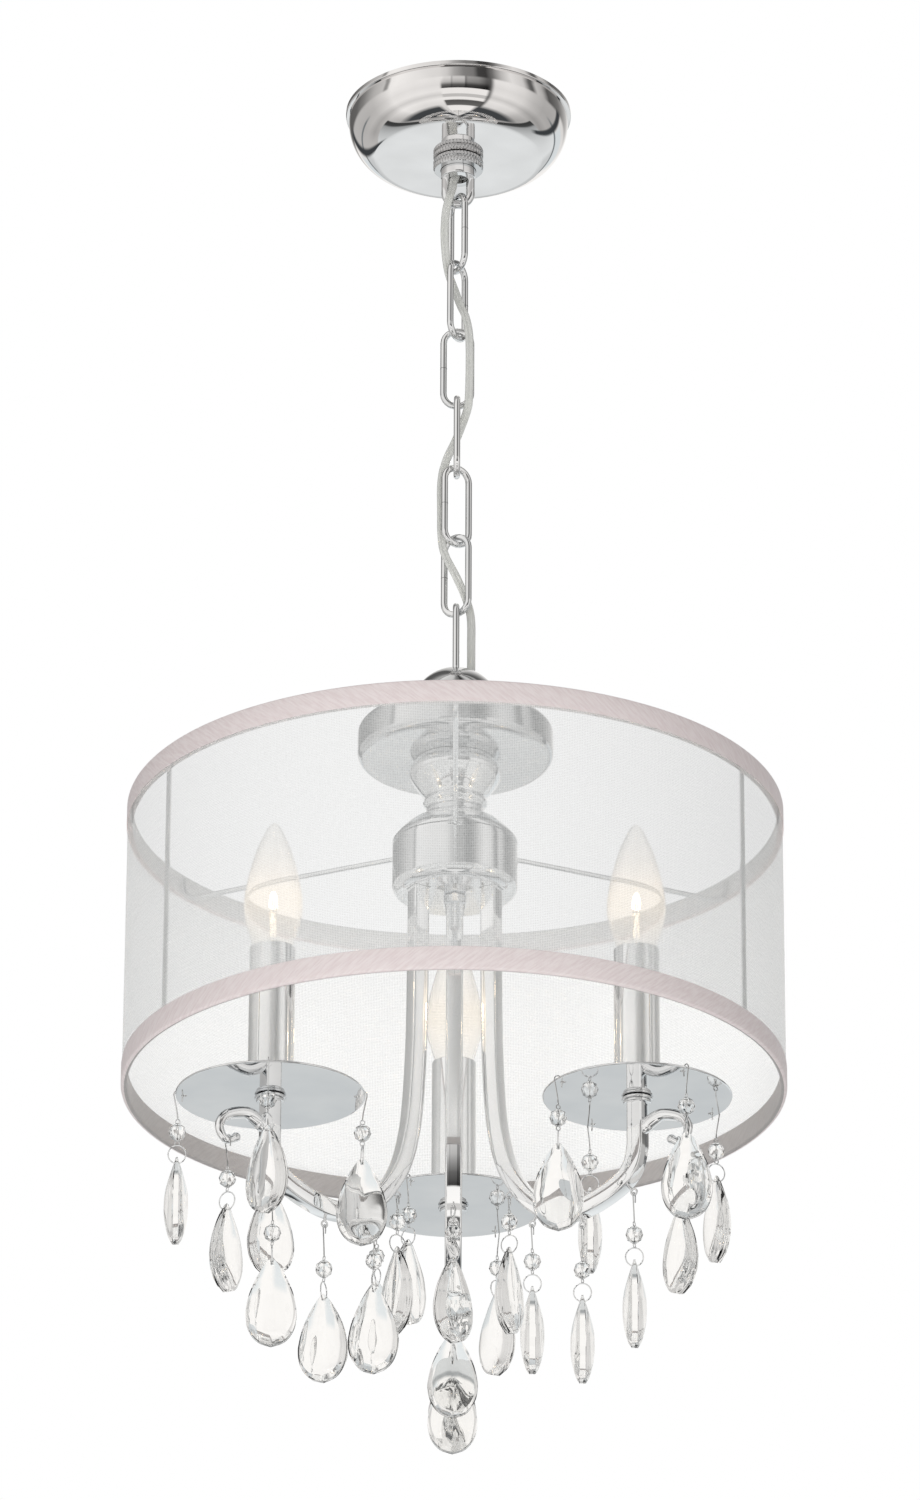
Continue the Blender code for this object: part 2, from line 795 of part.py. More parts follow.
def neck_spool():
    """Spun baluster between the cup and the hub."""
    radius = HUB_DIAMETER / 2
    profile = [(share * radius, spool_top - down * SPOOL_HEIGHT) for down, share in SPOOL_SHARES]
    return dress(thicken(turned("neck_spool", profile, CAP_STEPS), SPOOL_WALL), chrome)


def hub():
    """Cup that the arms' tubes stand in, open at the top under the spider."""
    radius = HUB_DIAMETER / 2
    corner_centre = (radius - HUB_ROUNDING, hub_floor + HUB_ROUNDING)
    corner = arc(corner_centre, HUB_ROUNDING, 0, -math.pi / 2, CORNER_STEPS)
    profile = [(radius, hub_top), *corner, (ROD_HOLE / 2, hub_floor)]
    shell = thicken(turned("hub", profile, CAP_STEPS), HUB_WALL)
    side = ARM_TUBE + 2 * GAP
    holes = []
    for name, azimuth in ARM_AZIMUTHS.items():
        hole = box("arm_hole_" + name, (side, side, HUB_ROUNDING), (ARM_FOOT_RADIUS, 0, 0))
        holes.append(place(hole, (0, 0, hub_floor), azimuth))
    return dress(cut(shell, holes), chrome)


def arm_place(shares):
    """The point (radius, level) that shares of the arm's reach and drop give."""
    across, down = shares
    return (
        ARM_FOOT_RADIUS + across * (ARM_REACH - ARM_FOOT_RADIUS),
        arm_top - down * ARM_DROP,
    )


def arm_path():
    """Centre line (radius, level) of the tube, from inside the hub to the pad under the disc."""
    points = [arm_place(shares) for shares in ARM_SHARES]
    smooth = [(p.x, p.y) for p in smooth_path([(*p, 0.0) for p in points], ARM_STEPS)]
    return [*smooth, (ARM_REACH, pad_top - COLLAR_PAD_HEIGHT / 2)]


def scroll_place(shares):
    return (ARM_REACH + shares[0] * SCROLL_REACH, disc_floor + shares[1] * SCROLL_REACH)


def square_tube(path):
    """The arm's bar, swept from a square section along a flat path and then stood upright."""
    half = ARM_TUBE / 2
    section = bpy.data.curves.new("tube_section", "CURVE")
    outline = section.splines.new("POLY")
    outline.points.add(3)
    outline.use_cyclic_u = True
    for i, (x, y) in enumerate(((-half, -half), (half, -half), (half, half), (-half, half))):
        outline.points[i].co = (x, y, 0.0, 1.0)
    section_object = add_object("tube_section", section, cutters)
    curve = bpy.data.curves.new("tube", "CURVE")
    curve.dimensions = "2D"
    curve.bevel_mode = "OBJECT"
    curve.bevel_object = section_object
    curve.use_fill_caps = True
    spline = curve.splines.new("POLY")
    spline.points.add(len(path) - 1)
    for i, (x, y) in enumerate(path):
        spline.points[i].co = (x, y, 0.0, 1.0)
    bar = made_mesh(add_object("tube", curve))
    bpy.data.objects.remove(section_object, do_unlink=True)
    bar.data.transform(Matrix.Rotation(math.pi / 2, 4, "X"))
    return bar


def eyelet(name, centre, path):
    """Ring under the tube, in the arm's plane, on a short stem to the nearest point of the tube."""
    radius = (EYELET_DIAMETER - EYELET_WIRE) / 2
    circle = ring_points(centre, radius, EYELET_STEPS)
    ring = made_mesh(wire(name, in_plane(circle), EYELET_WIRE, cyclic=True, resolution=0))
    seat = min(path, key=lambda p: math.dist(p, centre))
    share = (radius - SINK / 2) / math.dist(seat, centre)
    start = (centre[0] + share * (seat[0] - centre[0]), centre[1] + share * (seat[1] - centre[1]))
    stem = made_mesh(wire(name + "_stem", in_plane([start, seat]), EYELET_STEM))
    return [ring, stem]


def arm(side):
    """Arm with its pad, nipple, scroll and eyelets, brazed into one piece."""
    path = arm_path()
    scroll_line = smooth_path([(*scroll_place(s), s[2]) for s in SCROLL_SHARES], 1)
    scroll = wire(
        "scroll",
        [(p.x, 0.0, p.y) for p in scroll_line],
        SCROLL_ROOT,
        thickness_shares=[p.z for p in scroll_line],
    )
    pad = cylinder("pad", COLLAR_PAD_DIAMETER, pad_top, pad_top - COLLAR_PAD_HEIGHT)
    nipple = cylinder("nipple", NIPPLE_DIAMETER, nipple_top, pad_top - NIPPLE_IN_PAD)
    for piece in (pad, nipple):
        shift_mesh(piece, (ARM_REACH, 0, 0))
    joined = [made_mesh(scroll), pad, nipple]
    for name in EYELET_SHARES:
        joined += eyelet("eyelet_" + name, eyelet_centre(side, name), path)
    bar = fuse(square_tube(path), joined)
    bar.name = "arm_" + side
    return dress(place(bar, (0, 0, 0), ARM_AZIMUTHS[side]), chrome)


def eyelet_centre(side, name):
    if side == "back" and name == "inner_high":
        return arm_place(BACK_INNER_HIGH_SHARE)
    return arm_place(EYELET_SHARES[name])


def disc_web_radius():
    """Radius of the web between a drip disc's holes and its edge."""
    return (DISC_DIAMETER - DISC_WEB) / 2


def drip_disc(side):
    """Flat mirror disc with a centre hole and four small holes near its edge."""
    disc = cylinder("bobeche_" + side, DISC_DIAMETER, disc_top, disc_floor, DISC_STEPS)
    shift_mesh(disc, (0, 0, -disc_top))
    tools = [cylinder("nipple_hole_" + side, NIPPLE_HOLE, OVERRUN, -DISC_THICKNESS - OVERRUN)]
    hole_radius = DISC_DIAMETER / 2 - DISC_WEB - DISC_HOLE / 2
    for i in range(DISC_HOLES):
        name = f"drop_hole_{side}_{i + 1}"
        tool = cylinder(name, DISC_HOLE, OVERRUN, -DISC_THICKNESS - OVERRUN, DISC_HOLE_STEPS)
        shift_mesh(tool, around(hole_radius, i * math.tau / DISC_HOLES, 0))
        tools.append(tool)
    centre = around(ARM_REACH, ARM_AZIMUTHS[side], disc_top)
    turn = math.radians(FIRST_HOLE[side])
    for tool in tools:
        place(tool, centre, turn)
    return dress(cut(place(disc, centre, turn), tools), chrome)


def candle_sleeve(side):
    outer, inner = SLEEVE_DIAMETER / 2, SLEEVE_BORE / 2
    profile = [(inner, SLEEVE_HEIGHT), (outer, SLEEVE_HEIGHT), (outer, 0.0), (inner, 0.0)]
    sleeve = turned("candle_sleeve_" + side, profile, SLEEVE_STEPS, closed=True)
    return dress(place(sleeve, around(ARM_REACH, ARM_AZIMUTHS[side], sleeve_foot)), chrome)


def lampholder(side):
    """Candle holder with the bulb's bore above and the nipple's bore below."""
    outer = HOLDER_DIAMETER / 2
    bulb_bore = BULB_BASE_DIAMETER / 2 + GAP
    nipple_bore = NIPPLE_HOLE / 2
    top = holder_top - sleeve_foot
    bulb_floor = top - BULB_BASE_LENGTH - BULB_CONTACT - GAP
    nipple_roof = nipple_top + GAP - sleeve_foot
    profile = [
        (0.0, bulb_floor),
        (bulb_bore, bulb_floor + BULB_CONTACT),
        (bulb_bore, top),
        (outer, top),
        (outer, 0.0),
        (nipple_bore, 0.0),
        (nipple_bore, nipple_roof),
        (0.0, nipple_roof),
    ]
    holder = turned("lampholder_" + side, profile, BORE_STEPS)
    return dress(place(holder, around(ARM_REACH, ARM_AZIMUTHS[side], sleeve_foot)), holder_white)


def bulb(side):
    """Flame bulb with its screw base, whose origin is level with the holder's top."""
    radius, base = BULB_DIAMETER / 2, BULB_BASE_DIAMETER / 2
    glass = [(share * radius, up * BULB_HEIGHT) for up, share in BULB_SHARES]
    profile = [
        *glass,
        (base, 2 * GAP),
        (base, -BULB_BASE_LENGTH),
        (0.0, -BULB_BASE_LENGTH - BULB_CONTACT),
    ]
    lamp = turned("bulb_" + side, profile, BORE_STEPS)
    return dress(place(lamp, around(ARM_REACH, ARM_AZIMUTHS[side], holder_top)), bulb_glass)


def spider_rod(name):
    """Wire from the spider's tab out to the shade's wall and up to the top ring, along +X."""
    start = HUB_DIAMETER / 2 + SPIDER_HUB_INSET + GAP
    reach, rise = riser_radius - start, top_ring_level - spider_level
    points = [(start + out * reach, spider_level + up * rise) for out, up in SPIDER_RISE_SHARES]
    points.append((riser_radius, top_ring_level))
    rod = made_mesh(wire(name, in_plane(points), SPIDER_WIRE))
    return rod


def shade_frame():
    """Spider hub, three rods, two rings and three flat struts, welded together."""
    hub_radius = HUB_DIAMETER / 2 - SPIDER_HUB_INSET
    spider_bottom = spider_top - SPIDER_HUB_THICKNESS
    half_step = math.pi / DRUM_STEPS
    frame = made_mesh(cylinder("shade_frame", 2 * hub_radius, spider_top, spider_bottom, CAP_STEPS))
    joined = []
    for ring_name, level in (("top_ring", top_ring_level), ("bottom_ring", bottom_ring_level)):
        circle = arc((0, 0), shade_ring_radius, half_step, math.tau + half_step, DRUM_STEPS)[:-1]
        points = [(x, y, level) for x, y in circle]
        joined.append(made_mesh(wire(ring_name, points, SHADE_RING_WIRE, cyclic=True, resolution=0)))
    strut_radius = shade_ring_radius * facet_share - SHADE_RING_WIRE / 2 + STRUT_THICKNESS / 2
    strut_height = top_ring_level - bottom_ring_level
    strut_middle = (top_ring_level + bottom_ring_level) / 2
    tab_length = SPIDER_HUB_INSET + SPIDER_TAB_REACH + hub_radius / 2
    for name, azimuth in ARM_AZIMUTHS.items():
        strut = box(
            "strut_" + name,
            (STRUT_THICKNESS, STRUT_WIDTH, strut_height),
            (strut_radius, 0, strut_middle),
        )
        opposite = azimuth + math.pi
        tab = box(
            "tab_" + name,
            (tab_length, SPIDER_TAB_WIDTH, SPIDER_HUB_THICKNESS),
            (HUB_DIAMETER / 2 + SPIDER_TAB_REACH - tab_length / 2, 0, spider_level),
        )
        strut.data.transform(Matrix.Rotation(azimuth, 4, "Z"))
        rod = spider_rod("rod_" + name)
        for piece in (tab, rod):
            piece.data.transform(Matrix.Rotation(opposite, 4, "Z"))
        joined += [strut, tab, rod]
    frame = fuse(frame, joined)
    hole = cylinder("spider_hole", ROD_HOLE, spider_top + OVERRUN, spider_bottom - OVERRUN)
    return dress(cut(frame, [hole]), chrome)


def shade_fabric():
    """Sheer wall between the two rings."""
    outer = shade_ring_radius + SHADE_FABRIC_THICKNESS
    top = top_ring_level - SHADE_RING_WIRE / 2 - GAP
    bottom = bottom_ring_level + SHADE_RING_WIRE / 2 + GAP
    profile = [
        (shade_ring_radius, top),
        (outer, top),
        (outer, bottom),
        (shade_ring_radius, bottom),
    ]
    half_step = math.pi / DRUM_STEPS
    return dress(turned("shade_fabric", profile, DRUM_STEPS, closed=True, phase=half_step), organza)


def shade_trim(name, edge, way):
    """Silk band folded over a ring; way is 1 where its channel opens upwards and -1 downwards."""
    web = edge + way * TRIM_THICKNESS
    lip = edge + way * TRIM_HEIGHT
    inner = trim_inner_radius
    profile = [
        (inner, lip),
        (inner + TRIM_THICKNESS, lip),
        (inner + TRIM_THICKNESS, web),
        (shade_radius - TRIM_THICKNESS, web),
        (shade_radius - TRIM_THICKNESS, lip),
        (shade_radius, lip),
        (shade_radius, edge),
        (inner, edge),
    ]
    if way < 0:
        profile.reverse()
    half_step = math.pi / DRUM_STEPS
    return turned(name, profile, DRUM_STEPS, closed=True, phase=half_step)


def shade_top_trim():
    trim = shade_trim("shade_top_trim", shade_top, -1)
    width = SPIDER_WIRE + 4 * GAP
    notch_top = top_ring_level + SHADE_RING_WIRE / 2
    notch_bottom = shade_top - TRIM_HEIGHT - OVERRUN
    tools = []
    for name, azimuth in ARM_AZIMUTHS.items():
        notch = box(
            "riser_notch_" + name,
            (RISER_NOTCH_DEPTH, width, notch_top - notch_bottom),
            (riser_radius, 0, (notch_top + notch_bottom) / 2),
        )
        tools.append(place(notch, (0, 0, 0), azimuth + math.pi))
    return dress(cut(trim, tools), silk)


def shade_bottom_trim():
    return dress(shade_trim("shade_bottom_trim", shade_bottom, 1), silk)


def drop_shape(name, top, broad):
    """Almond drop hanging from its tip, with its broad side along the given azimuth."""
    shape = bmesh.new()
    bmesh.ops.create_uvsphere(shape, u_segments=DROP_SIDES, v_segments=len(DROP_SHARES) + 1, radius=1.0)
    ranks = sorted({round(v.co.z, RANK_DIGITS) for v in shape.verts}, reverse=True)
    levels = [(0.0, 0.0), *DROP_SHARES, (1.0, 0.0)]
    for point in shape.verts:
        down, width_share = levels[ranks.index(round(point.co.z, RANK_DIGITS))]
        flat = math.hypot(point.co.x, point.co.y) or 1.0
        point.co.x *= DROP_WIDTH / 2 * width_share / flat
        point.co.y *= DROP_DEPTH / 2 * width_share / flat
        point.co.z = top - down * DROP_HEIGHT
    bmesh.ops.rotate(shape, verts=shape.verts, matrix=Matrix.Rotation(broad, 3, "Z"))
    mesh = bpy.data.meshes.new(name)
    shape.to_mesh(mesh)
    shape.free()
    return add_object(name, mesh)


def bead_shape(name, centre):
    shape = bmesh.new()
    bmesh.ops.create_uvsphere(
        shape,
        u_segments=BEAD_SIDES,
        v_segments=BEAD_RINGS,
        radius=BEAD_DIAMETER / 2,
    )
    bmesh.ops.translate(shape, verts=shape.verts, vec=(0, 0, centre))
    mesh = bpy.data.meshes.new(name)
    shape.to_mesh(mesh)
    shape.free()
    return add_object(name, mesh)


def crystal_strand(name, hook_radius, hang, pivot, azimuth, broad):
    """Hook, bead, ring and drop as one piece that swings about its pivot.

    The hook bends over the pivot in the plane of local X and Z, so the swing is about local Y.
    """
    bead_top = BEAD_DIAMETER / 2 - SINK
    ring_radius = (DROP_RING_DIAMETER - HOOK_WIRE) / 2
    reach = hook_radius / math.cos(math.pi / (2 * HOOK_STEPS))
    over = arc((0, 0), reach, math.pi, 0, HOOK_STEPS)
    neck = (0.0, -(hook_radius + hang - bead_top) / 2)
    points = [(-reach, -HOOK_SHORT_LEG), *over, neck, (0.0, bead_top - hang)]
    hook = made_mesh(wire(name, in_plane(points), HOOK_WIRE, resolution=0))
    turn = broad - azimuth
    ring_middle = -hang - bead_top - ring_radius
    circle = ring_points((0, ring_middle), ring_radius, EYELET_STEPS)
    ring = made_mesh(wire("drop_ring", in_plane(circle), HOOK_WIRE, cyclic=True, resolution=0))
    ring.data.transform(Matrix.Rotation(turn + math.pi / 2, 4, "Z"))
    bead = bead_shape("bead", -hang)
    drop = drop_shape("drop", -hang - DROP_BELOW_BEAD, turn)
    strand = fuse(drop, [ring, bead, hook])
    strand.name = name
    return dress(place(strand, pivot, azimuth), crystal)


def disc_strand(side, index, hole_degrees, broad_degrees):
    azimuth = math.radians(hole_degrees)
    centre = around(ARM_REACH, ARM_AZIMUTHS[side], (disc_top + disc_floor) / 2)
    pivot = centre + around(disc_web_radius(), azimuth, 0)
    radius = (DISC_WEB + HOOK_WIRE) / 2 + GAP
    return crystal_strand(
        f"crystal_{side}_disc_{index + 1}",
        radius,
        HANG_FROM_DISC,
        pivot,
        azimuth,
        math.radians(broad_degrees),
    )


def arm_strand(side, name, broad_degrees):
    """Strand that hangs in an eyelet, or over the scroll, and swings across the arm's plane."""
    if name == "scroll":
        seat = scroll_place(SCROLL_HOOK_SHARE)
        radius = (SCROLL_ROOT * SCROLL_HOOK_SHARE[2] + HOOK_WIRE) / 2 + GAP
        hang = HANG_FROM_SCROLL
    else:
        centre = eyelet_centre(side, name)
        seat = (centre[0], centre[1] - (EYELET_DIAMETER - EYELET_WIRE) / 2)
        radius = (EYELET_WIRE + HOOK_WIRE) / 2 + GAP
        hang = HANG_FROM_EYELET[name]
    azimuth = ARM_AZIMUTHS[side]
    return crystal_strand(
        f"crystal_{side}_{name}",
        radius,
        hang,
        around(seat[0], azimuth, seat[1]),
        azimuth - math.pi / 2,
        math.radians(broad_degrees),
    )


def build_chandelier():
    ceiling = empty("ceiling_mount", (0, 0, 0))
    for piece in (crossbar(), collar_loop(), supply_cord()):
        hang_on(piece, ceiling)
    ring = hang_on(collar_ring(), ceiling)
    hang_on(canopy(), ring)
    above = ceiling
    for index, azimuth in enumerate(LINK_AZIMUTHS[:-1]):
        above = hang_on(chain_link(index, azimuth, hinge_level(index)), above)
    fixture = hang_on(empty("fixture", (0, 0, hinge_level(len(LINK_AZIMUTHS) - 1))), above)
    body = [loop_rod(), top_cap(), neck_spool(), hub(), shade_frame(), shade_fabric()]
    body += [shade_top_trim(), shade_bottom_trim()]
    for side in ARM_AZIMUTHS:
        body += [arm(side), drip_disc(side), candle_sleeve(side), lampholder(side), bulb(side)]
        body += [disc_strand(side, i, *hole) for i, hole in enumerate(DISC_DROPS[side])]
        body += [arm_strand(side, name, broad) for name, broad in ARM_DROPS[side].items()]
    for piece in body:
        hang_on(piece, fixture)


build_chandelier()
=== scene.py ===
"""Looks of the drum chandelier: smooth chrome, cut glass, sheer cloth and studio light.

Metres, +Z up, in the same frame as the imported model. The origin is the middle of the canopy's rim,
on the ceiling.
"""

import math
from itertools import accumulate

import bmesh
import bpy
from mathutils import Matrix, Vector

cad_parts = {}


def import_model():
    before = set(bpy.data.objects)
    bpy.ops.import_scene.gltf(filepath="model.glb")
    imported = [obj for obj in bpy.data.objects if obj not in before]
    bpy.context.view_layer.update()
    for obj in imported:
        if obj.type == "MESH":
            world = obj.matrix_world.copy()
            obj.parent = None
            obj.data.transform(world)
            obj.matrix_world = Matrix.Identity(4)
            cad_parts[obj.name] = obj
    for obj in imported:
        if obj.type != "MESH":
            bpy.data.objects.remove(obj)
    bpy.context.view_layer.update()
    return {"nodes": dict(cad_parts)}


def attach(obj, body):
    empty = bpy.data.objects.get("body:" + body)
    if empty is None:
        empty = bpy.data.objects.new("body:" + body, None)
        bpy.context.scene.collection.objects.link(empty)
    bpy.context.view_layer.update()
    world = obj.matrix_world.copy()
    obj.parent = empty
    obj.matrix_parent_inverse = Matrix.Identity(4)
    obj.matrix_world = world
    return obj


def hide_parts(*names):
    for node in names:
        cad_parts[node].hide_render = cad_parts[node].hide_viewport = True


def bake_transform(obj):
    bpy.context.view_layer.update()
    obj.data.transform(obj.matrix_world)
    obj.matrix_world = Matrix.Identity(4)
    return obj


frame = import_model()

# Clearance between pieces that touch
GAP = 0.0003

# Facets round each kind of smooth piece
DRUM_STEPS = 180
BOWL_STEPS = 120
HUB_STEPS = 96
ROUND_STEPS = 64
WIRE_SIDES = 14
FINE_SIDES = 8

# Canopy and collar
STEM_DIAMETER = 0.0098
CANOPY_DIAMETER = 0.127
CANOPY_HEIGHT = 0.0294
CANOPY_WALL = 0.001
CANOPY_LIP = 0.0022
CANOPY_ROUNDING = 0.0007
CANOPY_ROUNDING_RISE = 0.0003
CANOPY_TUCK = 0.0006
CANOPY_STEP = 0.0017
CANOPY_FLAT_DIAMETER = 0.0934
CANOPY_BRINK = 0.002
CANOPY_BELLY_ANGLE = math.radians(72)
COLLAR_DIAMETER = 0.0196
COLLAR_ABOVE_CANOPY = 0.0094
COLLAR_BELOW_RING = 0.0053
RING_DIAMETER = 0.0285
RING_HEIGHT = 0.0065
RING_KNURLS = 44
KNURL_DEPTH = 0.0005
RING_EDGE = 0.0005
RING_GROOVE = 0.0003
LOOP_WIRE = 0.005
LOOP_SPAN = 0.0138
LOOP_LEG = 0.0091
LOOP_AZIMUTH = math.radians(182)
BUSH_EDGE = 0.0008

# Chain: six links, then the loop on the centre rod
LINK_LENGTH = 0.0502
LINK_GAP = 0.0005
LINK_WIDTH = 0.019
LINK_WIRE = 0.0037
LINK_AZIMUTHS = [math.radians(a) for a in (120, 58, 0, 90, 30, 150, 90)]
LINK_COUNT = len(LINK_AZIMUTHS) - 1
LINK_BEND_STEPS = 12
LINK_SIDE_STEPS = 8
SEAM_SUNK = 0.0002
SEAM_PROUD = 0.00006
SEAM_HALF_FOOT = 0.00022
SEAM_HALF_CREST = 0.00012

# Supply cord: the route of the model's cord, and the flat twin cord that lies along it
CORD_WIDTH = 0.0046
CORD_DEPTH = 0.0024
CORE_DIAMETER = 0.0011
CORD_FLAT_SIDE = (1, 0.25, 0)
CORD_WEB_ANGLE = math.radians(38)
CORD_POINTS = [
    (0.0, 0.0, -0.001), (0.0, 0.0, -0.015), (-0.0004, -0.0001, -0.030), (-0.0012, -0.0006, -0.039),
    (-0.0025, -0.0018, -0.0435), (-0.0031, -0.0040, -0.049), (-0.0048, -0.0062, -0.056),
    (-0.0069, -0.0056, -0.066), (-0.0074, -0.0044, -0.082), (-0.0055, -0.0022, -0.100),
    (-0.0015, -0.0003, -0.112), (0.0018, -0.0010, -0.122), (0.0046, -0.0032, -0.130),
    (0.0065, -0.0050, -0.142), (0.0069, -0.0053, -0.160), (0.0065, -0.0046, -0.180),
    (0.0054, -0.0028, -0.188), (0.0, 0.0, -0.203), (-0.0060, 0.0010, -0.217), (-0.0085, 0.0011, -0.230),
    (-0.0085, 0.0005, -0.250), (-0.0083, -0.0001, -0.262), (-0.0066, -0.0004, -0.274), (0.0, 0.0, -0.288),
    (0.0055, 0.0016, -0.301), (0.0081, 0.0012, -0.313), (0.0083, 0.0010, -0.330), (0.0083, 0.0010, -0.347),
    (0.0080, 0.0010, -0.362), (0.0075, 0.0010, -0.374),
]

# Centre rod and the stack that it clamps
ROD_DIAMETER = 0.0064
ROD_BELOW_HUB = 0.0193
NUT_ACROSS_FLATS = 0.012
NUT_HEIGHT = 0.0057
NUT_EDGE = 0.0007
ROD_THREAD = 0.00022
ROD_PITCH = 0.001
ROD_THREAD_START = 0.0002
ROD_POINT_HEIGHT = 0.0006
ROD_POINT_TAPER = 0.0009
ROD_HOLE = 0.0074
CAP_WALL = 0.0012
LOOP_INSIDE_CAP = 0.0103
DOME_RADIUS = 0.025
DOME_HOLE_ANGLE = 0.22
CAP_COVE_HEIGHT = 0.0065
CAP_COVE_WIDTH = 0.005
CUP_DIAMETER = 0.1065
CUP_SHOULDER_DROP = 0.002
CUP_SHOULDER = 0.005
CUP_HEIGHT = 0.021
SPOOL_HEIGHT = 0.0483
SPOOL_WALL = 0.0013
# Shares of the spool's height down and of the hub's radius
SPOOL_SHARES = [
    (0.0, 0.649), (0.097, 0.737), (0.201, 0.723), (0.346, 0.590), (0.449, 0.478), (0.511, 0.516),
    (0.573, 0.457), (0.636, 0.487), (0.708, 0.590), (0.791, 0.767), (0.895, 0.914), (0.975, 1.0),
    (1.0, 1.0),
]
HUB_DIAMETER = 0.0678
HUB_HEIGHT = 0.0281
HUB_WALL = 0.0013
HUB_ROUNDING = 0.006

# Shade
SPIDER_HUB_THICKNESS = 0.0014
SPIDER_HUB_INSET = 0.0007
SPIDER_TAB_WIDTH = 0.008
SPIDER_TAB_REACH = 0.0021
SPIDER_WIRE = 0.0028
SPIDER_RISE_SHARES = [(0.0, 0.0), (0.25, 0.06), (0.6, 0.13), (0.9, 0.18), (0.965, 0.24), (0.99, 0.40)]
SHADE_DIAMETER = 0.3556
SHADE_HEIGHT = 0.1624
SHADE_RISE = 0.0198
TRIM_HEIGHT = 0.0125
TRIM_THICKNESS = 0.0004
TRIM_WIDTH = 0.0036
TRIM_LIP_HEIGHT = 0.0012
TRIM_LIP_INWARD = 0.00015
TRIM_LIP_OUTWARD = 0.0001
TRIM_WAIST = 0.006
CLOTH_GAP = 0.0001
SHADE_RING_WIRE = 0.0022
STRUT_WIDTH = 0.0045
STRUT_THICKNESS = 0.0007

# Arms
ARM_AZIMUTHS = {"left": math.radians(210), "right": math.radians(330), "back": math.radians(90)}
ARM_TUBE = 0.0092
ARM_TUBE_ROUNDING = 0.0012
ARM_IN_HUB = 0.0157
ARM_FOOT_RADIUS = 0.0225
ARM_REACH = 0.1113
ARM_DROP = 0.2095
DISC_DROP = 0.1372
# Shares of the arm's reach and drop, from its foot to its end
ARM_SHARES = [
    (0.0, 0.0), (0.003, 0.301), (0.011, 0.516), (0.034, 0.683), (0.068, 0.778), (0.118, 0.850),
    (0.186, 0.902), (0.287, 0.955), (0.422, 0.993), (0.591, 1.0), (0.760, 0.979), (0.906, 0.945),
    (0.974, 0.907), (1.0, 0.859),
]
SCROLL_REACH = 0.030
SCROLL_ROOT = 0.0074
# Shares of the scroll's reach across and up, and of its root's thickness
SCROLL_SHARES = [
    (0.0, -0.60, 1.0), (0.157, -0.57, 1.0), (0.233, -0.51, 1.0), (0.453, -0.41, 0.95),
    (0.683, -0.437, 0.88), (0.903, -0.543, 0.78), (1.0, -0.723, 0.68), (0.953, -0.897, 0.60),
    (0.827, -0.98, 0.56), (0.670, -0.893, 0.60),
]
SCROLL_HOOK_SHARE = min(SCROLL_SHARES, key=lambda shares: shares[1])
EYELET_DIAMETER = 0.0044
EYELET_WIRE = 0.0011
EYELET_STEM = 0.0017
EYELET_SHARES = {
    "inner_high": (0.130, 0.924), "inner": (0.287, 1.012), "middle": (0.625, 1.041),
    "outer": (0.974, 0.979),
}
BACK_INNER_HIGH_SHARE = (0.062, 0.8735)

# Drip disc and candle on each arm
COLLAR_PAD_DIAMETER = 0.0168
COLLAR_PAD_HEIGHT = 0.0033
NIPPLE_DIAMETER = 0.0094
NIPPLE_HOLE = 0.0102
NIPPLE_ABOVE_DISC = 0.0132
DISC_DIAMETER = 0.100
DISC_THICKNESS = 0.0012
DISC_HOLE = 0.0032
DISC_WEB = 0.003
DISC_BRINK = 0.0004
SLEEVE_DIAMETER = 0.0245
SLEEVE_BORE = 0.0226
SLEEVE_HEIGHT = 0.0819
HOLDER_DIAMETER = 0.0206
HOLDER_SHORT_OF_SLEEVE = 0.0045
HOLDER_EDGE = 0.0008
BULB_DIAMETER = 0.032
BULB_HEIGHT = 0.077
BULB_BASE_DIAMETER = 0.012
BULB_BASE_LENGTH = 0.021
BULB_CONTACT = 0.0025
BULB_WALL = 0.0006
BULB_CROWN = 0.0008
BULB_THREAD = 0.0004
BULB_PITCH = 0.0024
BULB_NECK_TUCK = 0.0004
FILAMENT_LEVEL = 0.033
# Shares of the bulb's height up and of its radius
BULB_SHARES = [
    (1.0, 0.0), (0.985, 0.12), (0.935, 0.28), (0.79, 0.58), (0.61, 0.82), (0.47, 0.95), (0.36, 0.985),
    (0.27, 0.93), (0.182, 0.813), (0.065, 0.638), (0.015, 0.50),
]
BULB_STEM = [
    (0.0, 0.027), (0.0012, 0.0265), (0.0018, 0.025), (0.0015, 0.021), (0.0022, 0.012), (0.0035, 0.004),
    (0.0045, 0.001),
]
FILAMENT_TURNS = 8
FILAMENT_FOOT = 0.0285
FILAMENT_TOP = 0.0365
FILAMENT_HALF_WIDTH = 0.0017
FILAMENT_COIL_RADIUS = 0.0011
FILAMENT_THICKNESS = 0.0015
LEAD_WIRE = 0.0004
SUPPORT_WIRE = 0.0003
GLOW_REACH = 0.045
LEAD_POINTS = [(0.0008, 0.018), (0.0016, 0.0225), (FILAMENT_HALF_WIDTH, FILAMENT_FOOT)]

# Crystal strands
HOOK_WIRE = 0.0009
HOOK_SHORT_LEG = 0.004
STRAND_WIRE = 0.0007
PIN_WIRE = STRAND_WIRE * 0.9
EYE_RADIUS = 0.0012
BEAD_DIAMETER = 0.0094
DROP_RING_DIAMETER = 0.011
DROP_BELOW_BEAD = 0.0137
DROP_HEIGHT = 0.0485
DROP_WIDTH = 0.0266
DROP_DEPTH = 0.0128
